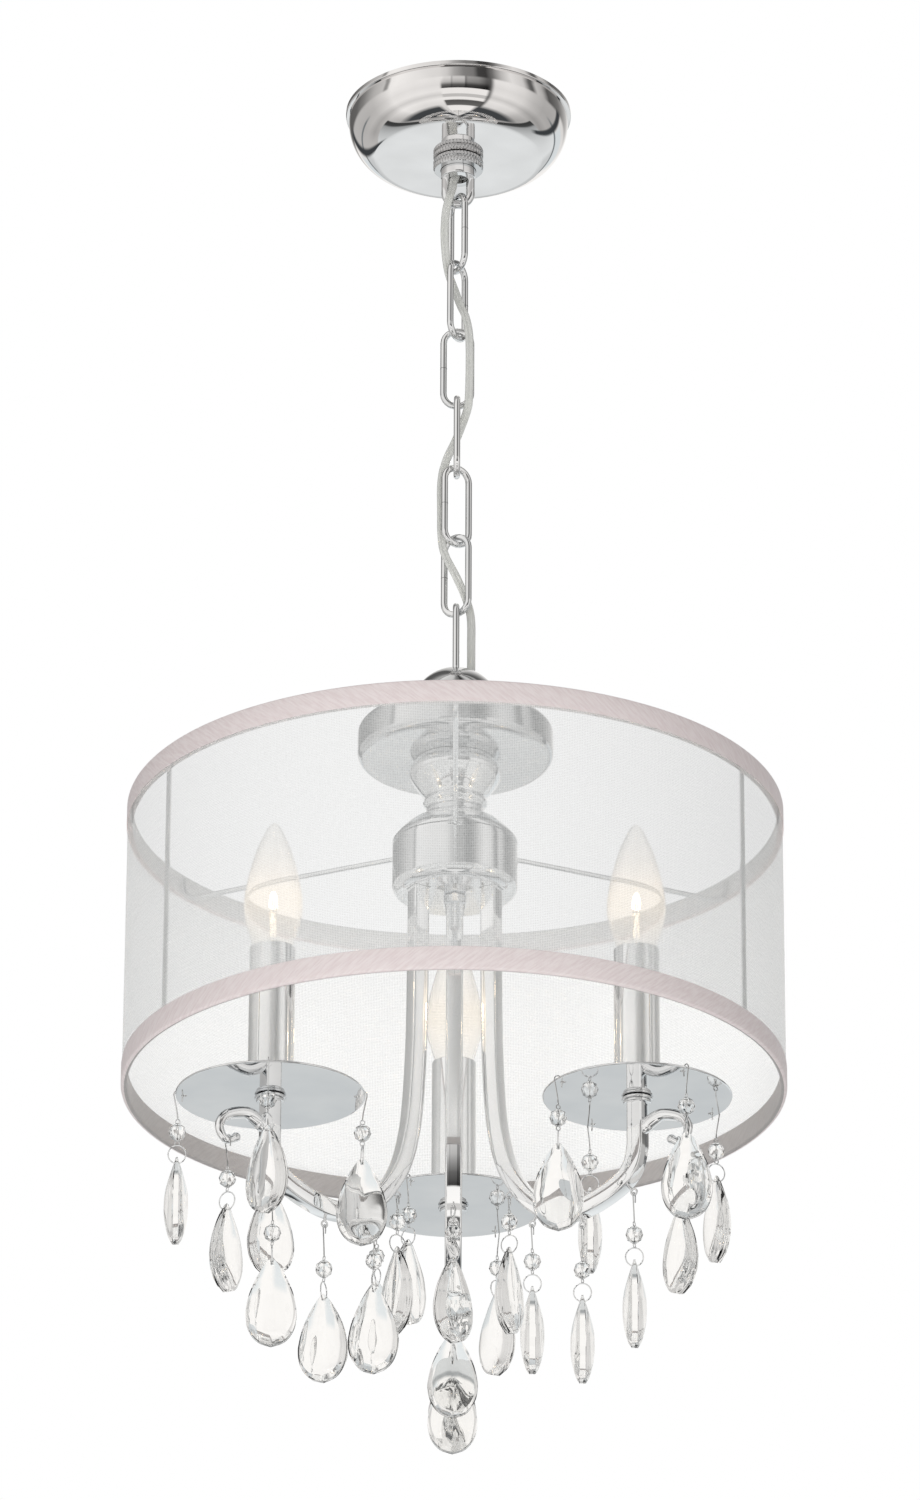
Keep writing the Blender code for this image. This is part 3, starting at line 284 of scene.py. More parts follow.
# Shares of the drop's height, width and depth
DROP_MIDDLE = -0.58
DROP_GIRDLE = 0.26
DROP_BEVEL = 0.88
DROP_BEVEL_DEPTH = 0.50
DROP_TAPER = 0.72
DROP_TAPER_LENGTH = 0.50
DROP_SHARES = [
    (0.0, 0.0), (0.04, 0.16), (0.12, 0.36), (0.24, 0.60), (0.40, 0.84), (0.56, 0.975), (0.66, 1.0),
    (0.78, 0.93), (0.88, 0.75), (0.955, 0.47), (1.0, 0.0),
]
DROP_CREASE = math.radians(11)
DROP_HOLE = 0.0017
DROP_HOLE_BELOW_TIP = 0.0034
RING_BELOW_BEAD = 0.0021
HANG_FROM_DISC = 0.0212
HANG_FROM_SCROLL = 0.0215
HANG_FROM_EYELET = {"inner_high": 0.0134, "inner": 0.0193, "middle": 0.0233, "outer": 0.0221}
DISC_DROPS = {
    "left": [(0, 8), (90, 30), (180, 90), (270, 139)],
    "right": [(30, 109), (120, 90), (210, 0), (300, 172)],
    "back": [(60, 130), (150, 30), (240, 52)],
}
ARM_DROPS = {
    "left": {"inner_high": 120, "inner": 167, "middle": 161, "outer": 0, "scroll": 61},
    "right": {"inner_high": 66, "inner": 90, "middle": 90, "outer": 90, "scroll": 123},
    "back": {"inner_high": 45, "inner": 8, "middle": 0, "outer": 20, "scroll": 60},
}

# Studio. The photographed object hangs a little askew, which the camera takes up, in degrees
CAMERA_PLACE = (0.0, -3.740, -2.023)
CAMERA_SENSOR = 36.0
CAMERA_LENS = 180.0
CAMERA_TILT = 23.565
CAMERA_PAN = -0.037
CAMERA_ROLL = 0.25
FLOOR_RADIUS = 2.0
FLOOR_LEVEL = -2.45
LIT_POINT = Vector((0, 0, -0.45))
WHITE = (1.0, 1.0, 1.0)

# Levels, worked out from the ceiling down as in the model
canopy_floor = -CANOPY_HEIGHT
ring_top = canopy_floor - GAP
ring_bottom = ring_top - RING_HEIGHT
collar_top = canopy_floor + COLLAR_ABOVE_CANOPY
collar_bottom = ring_bottom - COLLAR_BELOW_RING
loop_bend = collar_bottom - LOOP_LEG
loop_bar = loop_bend - LOOP_SPAN / 2
link_inside = LINK_LENGTH - LINK_WIRE
link_pitch = link_inside - LINK_WIRE - LINK_GAP
first_link_wire = loop_bar + LOOP_WIRE / 2 + LINK_GAP + LINK_WIRE / 2
last_link_wire = first_link_wire - LINK_COUNT * link_pitch
last_link_bottom = last_link_wire - link_inside - LINK_WIRE / 2
cap_top = last_link_bottom + LOOP_INSIDE_CAP
dome_foot = cap_top - DOME_RADIUS
cup_top = dome_foot - CAP_COVE_HEIGHT
cup_floor = cup_top - CUP_SHOULDER_DROP - CUP_HEIGHT
spool_top = cup_floor - GAP
spool_bottom = spool_top - SPOOL_HEIGHT
spider_top = spool_bottom - GAP
spider_level = spider_top - SPIDER_HUB_THICKNESS / 2
hub_top = spider_top - SPIDER_HUB_THICKNESS - GAP
hub_floor = hub_top - HUB_HEIGHT
arm_top = hub_floor + ARM_IN_HUB
disc_floor = hub_floor - DISC_DROP
disc_top = disc_floor + DISC_THICKNESS
pad_top = disc_floor - GAP
sleeve_foot = disc_top + GAP
sleeve_top = sleeve_foot + SLEEVE_HEIGHT
holder_top = sleeve_top - HOLDER_SHORT_OF_SLEEVE
nipple_top = disc_top + NIPPLE_ABOVE_DISC
shade_top = spider_level + SHADE_RISE
shade_bottom = shade_top - SHADE_HEIGHT
shade_radius = SHADE_DIAMETER / 2
trim_inner_radius = shade_radius - TRIM_WIDTH
shade_ring_radius = shade_radius - TRIM_THICKNESS - GAP - SHADE_RING_WIRE / 2
top_ring_level = shade_top - TRIM_THICKNESS - GAP - SHADE_RING_WIRE / 2
bottom_ring_level = shade_bottom + TRIM_THICKNESS + GAP + SHADE_RING_WIRE / 2
riser_radius = trim_inner_radius - SPIDER_WIRE / 4


# Materials


class Nodes:
    """A node tree whose nodes are added by kind, with their inputs by name or number."""

    def __init__(self, tree):
        self.tree = tree

    def feed(self, socket, value):
        """Links the socket to another node's output, or sets it to a number, a place or a colour."""
        if isinstance(value, bpy.types.NodeSocket):
            self.tree.links.new(value, socket)
        else:
            socket.default_value = (*value, 1.0) if socket.type == "RGBA" else value

    def add(self, kind, inputs=(), **settings):
        made = self.tree.nodes.new(kind)
        for key, value in settings.items():
            setattr(made, key, value)
        for key, value in dict(inputs).items():
            self.feed(made.inputs[key], value)
        return made

    def ramp(self, value, stops):
        """Tones or colours at places from 0 to 1."""
        made = self.add("ShaderNodeValToRGB", {"Fac": value})
        line = made.color_ramp
        while len(line.elements) < len(stops):
            line.elements.new(0.5)
        for element, (where, colour) in zip(line.elements, stops):
            element.position = where
            element.color = (*colour, 1.0) if isinstance(colour, tuple) else (colour, colour, colour, 1.0)
        return made.outputs["Color"]

    def tint(self, value, dark, pale, start=0.3, end=0.7):
        return self.ramp(value, [(start, dark), (end, pale)])

    def span(self, value, low, high, start=0.0, end=1.0):
        inputs = {"Value": value, "From Min": start, "From Max": end, "To Min": low, "To Max": high}
        return self.add("ShaderNodeMapRange", inputs).outputs["Result"]

    def maths(self, operation, *values):
        return self.add("ShaderNodeMath", enumerate(values), operation=operation).outputs["Value"]

    def mix(self, share, a, b, blend="MIX"):
        """Colour a, turning into b as the share goes from 0 to 1."""
        made = self.add("ShaderNodeMix", {0: share, 6: a, 7: b}, data_type="RGBA", blend_type=blend)
        return made.outputs[2]


class Finish(Nodes):
    """A Principled material."""

    def __init__(self, name):
        self.material = bpy.data.materials.new(name)
        self.material.use_nodes = True
        super().__init__(self.material.node_tree)
        self.shader = self.tree.nodes["Principled BSDF"]
        self.coordinates = self.add("ShaderNodeTexCoord")

    def values(self, **settings):
        """Sets the shader's inputs and gives the material, which is then complete."""
        for key, value in settings.items():
            self.feed(self.shader.inputs[key.replace("_", " ")], value)
        return self.material

    def place(self, scale=(1, 1, 1), turn=(0, 0, 0), source="Object"):
        inputs = {"Vector": self.coordinates.outputs[source], "Scale": scale, "Rotation": turn}
        return self.add("ShaderNodeMapping", inputs).outputs["Vector"]

    def noise(self, where, scale, detail=3.0, roughness=0.5):
        inputs = {"Vector": where, "Scale": scale, "Detail": detail, "Roughness": roughness}
        return self.add("ShaderNodeTexNoise", inputs).outputs["Fac"]

    def wave(self, where, scale, distortion, direction):
        inputs = {"Vector": where, "Scale": scale, "Distortion": distortion, "Detail": 2.0}
        return self.add("ShaderNodeTexWave", inputs, bands_direction=direction).outputs["Fac"]

    def bump(self, height, strength, distance):
        made = self.add("ShaderNodeBump", {"Height": height, "Strength": strength, "Distance": distance})
        self.feed(self.shader.inputs["Normal"], made.outputs["Normal"])


def chrome_finish(name, dark, pale, haze):
    """Bright plating: a faint haze, soft clouds in the tone and the gentlest waviness."""
    made = Finish(name)
    where = made.place()
    clouds = made.noise(where, 38.0, 2.0)
    smears = made.noise(made.place((1.0, 1.0, 0.35)), 160.0, 4.0)
    made.bump(made.noise(where, 90.0, 1.0), 0.015, 0.0002)
    gloss = made.span(smears, haze * 0.6, haze * 1.6)
    return made.values(Base_Color=made.tint(clouds, dark, pale), Roughness=gloss, Metallic=1.0)


def mottled_finish(name, grain, dark, pale, haze, relief, stretch=(1, 1, 1), **values):
    """One fine mottle in the tone, the gloss and the relief."""
    made = Finish(name)
    mottle = made.noise(made.place(stretch), *grain)
    made.bump(mottle, *relief)
    gloss = made.span(mottle, *haze)
    return made.values(Base_Color=made.tint(mottle, dark, pale), Roughness=gloss, **values)


def glass_finish(name, colour, ior, haze, waves=0.04):
    """Clear cut glass, with faint polishing marks that only the gloss shows."""
    made = Finish(name)
    where = made.place()
    gloss = made.span(made.noise(where, 900.0, 2.0), 0.0, haze)
    made.bump(made.noise(where, 220.0, 1.0), waves, 0.0001)
    return made.values(Base_Color=colour, Roughness=gloss, Transmission_Weight=1.0, IOR=ior)


def organza_finish():
    """Sheer cloth: fine warp and weft threads with slubs, open between them."""
    made = Finish("sheer_organza")
    cloth = made.place(source="UV")
    threads = made.maths("MAXIMUM", *(made.wave(cloth, 340.0, 0.6, way) for way in "XY"))
    slub = made.noise(made.place((60.0, 2200.0, 1.0), source="UV"), 1.0, 2.0)
    grain = made.noise(cloth, 900.0, 2.0, 0.7)
    cover = made.span(threads, 0.28, 0.60)
    for marks, depth in ((slub, 0.07), (grain, 0.20)):
        cover = made.maths("ADD", cover, made.span(marks, -depth, depth))
    made.bump(threads, 0.2, 0.0001)
    colour = made.tint(slub, (0.92, 0.93, 0.925), (0.97, 0.975, 0.965))
    return made.values(Base_Color=colour, Alpha=cover, Roughness=0.6, Sheen_Weight=0.15)


def silk_finish(name, dark, pale):
    """Slubbed silk cut on the bias, so its threads run at a slant round the band."""
    made = Finish(name)
    bias = made.place(turn=(0, 0, math.radians(38)), source="UV")
    stretched = made.add("ShaderNodeMapping", {"Vector": bias, "Scale": (110.0, 800.0, 1.0)})
    slub = made.noise(stretched.outputs["Vector"], 1.0, 3.0, 0.6)
    ribs = made.span(made.wave(bias, 420.0, 1.2, "Y"), 0.0, 0.5)
    made.bump(made.maths("ADD", slub, ribs), 0.5, 0.0002)
    colour, gloss = made.tint(slub, dark, pale, 0.38, 0.60), made.span(slub, 0.42, 0.62)
    return made.values(Base_Color=colour, Roughness=gloss, Sheen_Weight=0.25, Sheen_Roughness=0.4)


def core_finish():
    """Twisted tinned copper strands inside the cord."""
    made = Finish("tinned_strands")
    twist = made.wave(made.place(turn=(0, math.radians(35), 0)), 900.0, 0.5, "Z")
    made.bump(twist, 0.5, 0.0002)
    colour = made.tint(twist, (0.78, 0.78, 0.74), (0.95, 0.95, 0.92), 0.2, 0.8)
    return made.values(Base_Color=colour, Metallic=1.0, Roughness=0.3)


def filament_finish():
    made = Finish("lit_filament")
    heat = made.noise(made.place(), 800.0, 1.0)
    colour = made.tint(heat, (1.0, 0.66, 0.34), (1.0, 0.84, 0.58))
    return made.values(Emission_Color=colour, Emission_Strength=9.0, Roughness=0.4)


def lit_glass(name, glow):
    """Bulb glass with a painted glow: emission and a warmer tint on the clear glass stand in for its lamp's
    light, strongest level with the filament.
    """
    made = Finish(name)
    gloss = made.span(made.noise(made.place(), 900.0, 2.0), 0.0, 0.02)
    spot = made.add("ShaderNodeSeparateXYZ", {"Vector": made.coordinates.outputs["Object"]})
    away = made.maths("SUBTRACT", spot.outputs["Z"], holder_top + FILAMENT_LEVEL)
    reach = made.span(made.maths("ABSOLUTE", away), 0.0, 1.0, 0.0, GLOW_REACH)
    painted_warm_tint = [(0.0, (1.0, 0.975, 0.935)), (0.3, (1.0, 0.985, 0.965)), (0.8, (0.995, 0.995, 0.99))]
    return made.values(
        Base_Color=made.ramp(reach, painted_warm_tint),
        Roughness=gloss,
        Transmission_Weight=1.0,
        IOR=1.45,
        Emission_Color=(1.0, 0.80, 0.56),
        Emission_Strength=made.ramp(reach, [(0.0, glow), (0.2, glow * 0.72), (0.45, glow * 0.2), (0.8, 0.0)]),
    )


CHROME = chrome_finish("bright_chrome", (0.80, 0.81, 0.82), (0.88, 0.88, 0.88), 0.03)
# Painted light: a paler copy of the same chrome plating, on the arm tubes, scrolls and sleeves
BRIGHTENED_TUBE_CHROME = chrome_finish("brightened_tube_chrome", (0.91, 0.915, 0.92), (0.97, 0.97, 0.97), 0.03)
# Painted shade: darker copies of the same plating, much darker on the collar ring and top cap, a little
# darker on the spool and hub
SHADED_STACK_CHROME = chrome_finish("shaded_stack_chrome", (0.60, 0.61, 0.62), (0.70, 0.70, 0.70), 0.06)
SHADED_HUB_CHROME = chrome_finish("shaded_hub_chrome", (0.75, 0.76, 0.77), (0.87, 0.87, 0.87), 0.06)
# Painted reflection tone: a warmer copy of the same plating, on the canopy
WARM_TINTED_CANOPY_CHROME = chrome_finish("warm_tinted_canopy_chrome", (0.80, 0.785, 0.78), (0.88, 0.865, 0.86), 0.03)
WIRE_CHROME = chrome_finish("wire_chrome", (0.58, 0.59, 0.60), (0.76, 0.76, 0.75), 0.05)
SEAM = chrome_finish("wire_joint", (0.20, 0.20, 0.21), (0.34, 0.34, 0.34), 0.4)
ZINC = mottled_finish(
    "zinc_plated_steel", (420.0, 5.0, 0.7), (0.46, 0.47, 0.48), (0.64, 0.64, 0.62), (0.28, 0.5),
    (0.2, 0.0002), Metallic=1.0,
)
CERAMIC = mottled_finish(
    "holder_white", (300.0,), (0.84, 0.83, 0.80), (0.90, 0.89, 0.86), (0.3, 0.5), (0.1, 0.0002)
)
LAMP_CAP = mottled_finish(
    "lamp_cap", (500.0,), (0.60, 0.58, 0.52), (0.78, 0.76, 0.70), (0.2, 0.4), (0.1, 0.0001), Metallic=1.0
)
# Clear plastic gone a little grey and green, cloudy along its length
VINYL = mottled_finish(
    "clear_vinyl", (320.0,), (0.94, 0.945, 0.90), (0.99, 0.99, 0.96), (0.10, 0.26), (0.1, 0.0002),
    (1.0, 1.0, 0.3), Transmission_Weight=0.22, IOR=1.4,
)
CORES = core_finish()
CRYSTAL = glass_finish("cut_crystal", (0.985, 0.985, 0.98), 1.43, 0.01, 0.004)
BEAD_CRYSTAL = glass_finish("bead_crystal", (0.985, 0.99, 0.99), 1.50, 0.02)
CLEAR_GLASS = glass_finish("lamp_glass", (1.0, 1.0, 1.0), 1.45, 0.02)
# Painted glow on the bulb glass: strong on the two front bulbs, faint on the back one
LAMP_GLASS = lit_glass("lit_lamp_glass", 0.085)
BACK_LAMP_GLASS = lit_glass("dim_lamp_glass", 0.012)
FILAMENT = filament_finish()
ORGANZA = organza_finish()
SILK = silk_finish("slub_silk", (0.90, 0.785, 0.78), (0.99, 0.895, 0.885))
PALE_LINING = silk_finish("pale_lining", (0.74, 0.73, 0.72), (0.80, 0.79, 0.78))
# Painted shade: a darker copy of the lining, for the inside of the bottom trim
SHADED_GREY_LINING = silk_finish("shaded_grey_lining", (0.44, 0.415, 0.405), (0.49, 0.465, 0.455))


# Shapes

# Directions from an arc's centre; to the right is 0
UP = math.pi / 2
DOWN = -UP


def linked(name, data):
    item = bpy.data.objects.new(name, data)
    bpy.context.scene.collection.objects.link(item)
    return item


def add_object(name, mesh, material=None, sharp=40):
    """An object with smooth faces, sharp at the edges that turn more than the angle in degrees."""
    mesh.shade_smooth()
    mesh.set_sharp_from_angle(angle=math.radians(sharp))
    if material:
        mesh.materials.append(material)
    return linked(name, mesh)


def mesh_from(shape, name):
    mesh = bpy.data.meshes.new(name)
    shape.to_mesh(mesh)
    shape.free()
    return mesh


def mesh_of(name, points, faces):
    """A mesh with doubled points welded and its normals outwards."""
    shape = bmesh.new()
    made = [shape.verts.new(p) for p in points]
    for face in faces:
        shape.faces.new([made[i] for i in face])
    bmesh.ops.remove_doubles(shape, verts=shape.verts, dist=1e-7)
    bmesh.ops.recalc_face_normals(shape, faces=shape.faces)
    return mesh_from(shape, name)


def quads(rows, count, cyclic=True, closed=True):
    """Faces between each row of points and the next. Rows may close, and so may their sequence."""
    faces = []
    for i in range(rows if cyclic else rows - 1):
        j = (i + 1) % rows
        for k in range(count if closed else count - 1):
            m = (k + 1) % count
            faces.append((i * count + k, j * count + k, j * count + m, i * count + m))
    return faces


def smooth_path(points, steps):
    """Points on the smooth curve that runs through the given ones."""
    ends = [Vector(p) for p in (points[0], *points, points[-1])]
    path = []
    for i in range(len(points) - 1):
        a, b, c, d = ends[i : i + 4]
        for step in range(steps):
            t = step / steps
            bend = (2 * a - 5 * b + 4 * c - d) * t**2 + (3 * b - a - 3 * c + d) * t**3
            path.append((2 * b + (c - a) * t + bend) / 2)
    path.append(ends[-1])
    return path


def smooth_profile(points, steps):
    return [(p.x, p.y) for p in smooth_path([(*p, 0.0) for p in points], steps)]


def arc(centre, radius, start, end, steps):
    """Points (x, z) on an arc, from one angle to another."""
    angles = [start + (end - start) * i / steps for i in range(steps + 1)]
    return [(centre[0] + radius * math.cos(a), centre[1] + radius * math.sin(a)) for a in angles]


def circle(centre, radius, steps):
    return arc(centre, radius, 0, math.tau, steps)[:-1]


def walled(profile, wall):
    """A closed profile: the outside, then the inside, the wall's thickness to its right, the other way."""
    inside = []
    for i, (x, y) in enumerate(profile):
        before = profile[max(i - 1, 0)]
        after = profile[min(i + 1, len(profile) - 1)]
        along = Vector((after[0] - before[0], after[1] - before[1]))
        side = Vector((along.y, -along.x)).normalized()
        inside.append((max(x + side.x * wall, 0.0), y + side.y * wall))
    return [*profile, *reversed(inside)]


def round_points(profile, steps):
    """A profile of (radius, height) points at each step of a turn about Z."""
    turns = [math.tau * i / steps for i in range(steps)]
    return [(r * math.cos(turn), r * math.sin(turn), z) for turn in turns for r, z in profile]


def turned(name, profile, steps, material, closed=True, sharp=40):
    """A profile of (radius, height) points turned about Z."""
    faces = quads(steps, len(profile), closed=closed)
    return add_object(name, mesh_of(name, round_points(profile, steps), faces), material, sharp)


def shell(name, profile, wall, steps, material):
    return turned(name, walled(profile, wall), steps, material, sharp=50)


def washer(inner, outer, top, bottom):
    """Profile of a plain disc, ring or short rod."""
    return [(inner, top), (outer, top), (outer, bottom), (inner, bottom)]


def threaded(level, last, pitch, turn):
    """Profile of a thread down to the last level, with (radius, share of the pitch) points a turn."""
    profile = []
    while level > last:
        profile += [(radius, level - share * pitch) for radius, share in turn]
        level -= pitch
    return profile


def square_section(side, rounding, steps):
    half = side / 2 - rounding
    section = []
    for i, (x, y) in enumerate(((half, half), (-half, half), (-half, -half), (half, -half))):
        section += arc((x, y), rounding, math.pi / 2 * i, math.pi / 2 * (i + 1), steps)
    return section


def swept(name, path, section, across, material, cyclic=False, scales=None, sharp=40):
    """A section swept along a path, with its first axis along `across`."""
    path = [Vector(p) for p in path]
    count, last = len(section), len(path) - 1
    points = []
    side = Vector(across).normalized()
    for i, point in enumerate(path):
        before = path[i - 1] if i or cyclic else point
        after = path[(i + 1) % len(path)] if i < last or cyclic else point
        along = (after - before).normalized()
        side = (side - along * side.dot(along)).normalized()
        up = along.cross(side)
        scale = scales[i] if scales else 1.0
        points += [point + (side * u + up * v) * scale for u, v in section]
    faces = quads(len(path), count, cyclic)
    if not cyclic:
        faces += [tuple(reversed(range(count))), tuple(last * count + k for k in range(count))]
    return add_object(name, mesh_of(name, points, faces), material, sharp)


def rod(name, path, diameter, material, cyclic=False, scales=None, sides=WIRE_SIDES, across=(0, 1, 0)):
    return swept(name, path, circle((0, 0), diameter / 2, sides), across, material, cyclic, scales)


def in_plane(points):
    return [(x, 0.0, z) for x, z in points]


def lengths_along(points):
    """The length from the first point to each."""
    return list(accumulate((math.dist(a, b) for a, b in zip(points, points[1:])), initial=0.0))


def around(radius, azimuth, level):
    return Vector((radius * math.cos(azimuth), radius * math.sin(azimuth), level))


def put(item, point=(0, 0, 0), azimuth=0.0):
    """Moves the mesh itself, so the object's origin stays at the world's."""
    item.data.transform(Matrix.Translation(point) @ Matrix.Rotation(azimuth, 4, "Z"))
    return item


def put_on_arm(item, side, level=0):
    return put(item, around(ARM_REACH, ARM_AZIMUTHS[side], level))


def join(name, items, sharp=40):
    """One object of several, with their materials kept."""
    shape = bmesh.new()
    materials = []
    for item in items:
        start = len(shape.faces)
        shape.from_mesh(item.data)
        shape.faces.ensure_lookup_table()
        slots = []
        for material in item.data.materials:
            if material not in materials:
                materials.append(material)
            slots.append(materials.index(material))
        for face in shape.faces[start:]:
            face.material_index = slots[face.material_index]
    mesh = mesh_from(shape, name)
    for item in items:
        data = item.data
        bpy.data.objects.remove(item, do_unlink=True)
        bpy.data.meshes.remove(data)
    for material in materials:
        mesh.materials.append(material)
    return add_object(name, mesh, None, sharp)


def carved(item, tools):
    """Cuts the tools from the item."""
    for tool in tools:
        cut = item.modifiers.new("cut", "BOOLEAN")
        cut.operation = "DIFFERENCE"
        cut.solver = "EXACT"
        cut.object = tool
    bpy.context.view_layer.update()
    graph = bpy.context.evaluated_depsgraph_get()
    mesh = bpy.data.meshes.new_from_object(item.evaluated_get(graph))
    item.modifiers.clear()
    item.data = mesh
    mesh.shade_smooth()
    mesh.set_sharp_from_angle(angle=math.radians(30))
    for tool in tools:
        bpy.data.objects.remove(tool, do_unlink=True)
    return item


def plug(name, diameter, top, bottom, steps):
    return turned(name, washer(0, diameter / 2, top, bottom), steps, None, closed=False)


def block(name, size, centre, material=None):
    shape = bmesh.new()
    bmesh.ops.create_cube(shape, size=1.0)
    bmesh.ops.scale(shape, verts=shape.verts, vec=size)
    bmesh.ops.translate(shape, verts=shape.verts, vec=centre)
    return add_object(name, mesh_from(shape, name), material)


def stands_for(piece, body, node):
    """The piece rides on the body and takes the node's place."""
    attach(piece, body)
    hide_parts(node)


# Ceiling pieces


def canopy():
    rim, flat = CANOPY_DIAMETER / 2, CANOPY_FLAT_DIAMETER / 2
    step_radius = rim - CANOPY_STEP
    step_level = -CANOPY_LIP - CANOPY_STEP
    belly_top = step_level - CANOPY_STEP
    last_cosine = math.cos(CANOPY_BELLY_ANGLE)
    belly, steps = [], 26
    for i in range(steps + 1):
        turn = CANOPY_BELLY_ANGLE * i / steps
        across = (math.cos(turn) - last_cosine) / (1 - last_cosine)
        down = math.sin(turn) / math.sin(CANOPY_BELLY_ANGLE)
        belly.append((flat + (step_radius - flat) * across, belly_top + (canopy_floor - belly_top) * down))
    centre = (rim - CANOPY_ROUNDING, -CANOPY_LIP + CANOPY_ROUNDING_RISE)
    lip = arc(centre, CANOPY_ROUNDING, 0, DOWN, 5)
    tuck = (step_radius, -CANOPY_LIP - CANOPY_TUCK)
    profile = [(rim, 0.0), *lip, tuck, (step_radius, step_level), *belly]
    profile += [(flat - CANOPY_BRINK, canopy_floor), (COLLAR_DIAMETER / 2 + 2 * GAP, canopy_floor)]
    return shell("canopy_shell", profile, CANOPY_WALL, BOWL_STEPS, WARM_TINTED_CANOPY_CHROME)


def collar_ring():
    """Knurled ring with a groove round its middle."""
    outside, half = RING_DIAMETER / 2, RING_HEIGHT / 2
    body, tooth_root = outside - KNURL_DEPTH, outside - KNURL_DEPTH / 3
    upper = [
        (COLLAR_DIAMETER / 2 + GAP, half, 0),
        (body - RING_EDGE, half, 0),
        (body, half - RING_EDGE, 0),
        (tooth_root, half - 2 * RING_EDGE, 1),
        (tooth_root, RING_GROOVE + RING_EDGE, 1),
        (outside - 2 * KNURL_DEPTH, RING_GROOVE, 0),
    ]
    rows = upper + [(radius, -level, knurled) for radius, level, knurled in reversed(upper)]
    steps = 6 * RING_KNURLS
    points = []
    for i in range(steps):
        turn = math.tau * i / steps
        tooth = KNURL_DEPTH * (0.5 + 0.5 * math.cos(turn * RING_KNURLS))
        points += [around(radius - knurled * tooth, turn, level) for radius, level, knurled in rows]
    name = "collar_ring_knurled"
    ring = add_object(name, mesh_of(name, points, quads(steps, len(rows))), SHADED_STACK_CHROME, 32)
    return put(ring, (0, 0, ring_top - half))


def collar_loop():
    """Bush with a rounded foot and the U-shaped loop that the chain hangs from."""
    radius, bore = COLLAR_DIAMETER / 2, STEM_DIAMETER / 2 + GAP
    foot = arc((radius - BUSH_EDGE, collar_bottom + BUSH_EDGE), BUSH_EDGE, 0, DOWN, 4)
    profile = [(bore, collar_top), (radius, collar_top), *foot, (bore, collar_bottom)]
    bush = turned("bush", profile, ROUND_STEPS, CHROME)
    bend = arc((0, loop_bend), LOOP_SPAN / 2, 0, -math.pi, 28)
    leg_top = collar_bottom + LOOP_WIRE / 2
    path = in_plane([(LOOP_SPAN / 2, leg_top), *bend, (-LOOP_SPAN / 2, leg_top)])
    loop = rod("loop", path, LOOP_WIRE, CHROME, sides=18)
    return put(join("collar_loop_cast", [bush, loop]), azimuth=LOOP_AZIMUTH)


def link_wire(name, seam_side=1):
    """A link of wire bent to an oval round its upper wire's centre, with a butt joint down one side."""
    bend = (LINK_WIDTH - LINK_WIRE) / 2
    lower = bend - link_inside
    straight = [(lower + bend) * i / LINK_SIDE_STEPS for i in range(1, LINK_SIDE_STEPS)]
    points = [
        *arc((0, -bend), bend, 0, math.pi, LINK_BEND_STEPS),
        *((-bend, -bend + along) for along in straight),
        *arc((0, lower), bend, math.pi, math.tau, LINK_BEND_STEPS),
        *((bend, lower - along) for along in straight),
    ]
    link = rod(name, in_plane(points), LINK_WIRE, CHROME, cyclic=True)
    sunk, proud = LINK_WIRE / 2 - SEAM_SUNK, LINK_WIRE / 2 + SEAM_PROUD
    profile = [
        (sunk, -SEAM_HALF_FOOT), (proud, -SEAM_HALF_CREST), (proud, SEAM_HALF_CREST), (sunk, SEAM_HALF_FOOT)
    ]
    seam = put(turned("seam", profile, 24, SEAM), (seam_side * bend, 0, -link_inside / 2))
    return join(name, [link, seam])


def chain_link(index):
    link = link_wire(f"link_{index + 1}_wire", 1 if index % 2 else -1)
    return put(link, (0, 0, first_link_wire - index * link_pitch), LINK_AZIMUTHS[index])


# Supply cord


def cord_section():
    """Two round lobes side by side with a web between them."""
    lobe, start, sides = CORD_DEPTH / 2, CORD_WEB_ANGLE, 9
    middle = CORD_WIDTH / 2 - lobe
    right = arc((middle, 0), lobe, -math.pi + start, math.pi - start, sides)
    return right + arc((-middle, 0), lobe, start, math.tau - start, sides)


def cord_pieces():
    """The flat twin cord in seven lengths, one round each hinge of the chain."""
    route = smooth_path(CORD_POINTS, 8)
    hinges = [loop_bar] + [first_link_wire - i * link_pitch - link_inside for i in range(LINK_COUNT)]
    cuts = [*((a + b) / 2 for a, b in zip(hinges, hinges[1:])), -1.0]
    inside = route[:1]
    for i, (hinge, cut) in enumerate(zip(hinges, cuts)):
        seam = inside[-1]
        inside = [seam, *(p for p in route if cut <= p.z < seam.z)]
        jacket = swept(f"cord_{i + 1}", inside, cord_section(), CORD_FLAT_SIDE, VINYL)
        cores = []
        for way in (-1, 1):
            section = circle((way * (CORD_WIDTH / 2 - CORD_DEPTH / 2), 0), CORE_DIAMETER / 2, 8)
            cores.append(swept("core", inside, section, CORD_FLAT_SIDE, CORES))
        cores = join(f"cord_{i + 1}_cores", cores)
        for piece, slot in ((jacket, "cord_sheath"), (cores, "chrome")):
            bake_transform(piece)
            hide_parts("supply_cord")


# Fixture stack


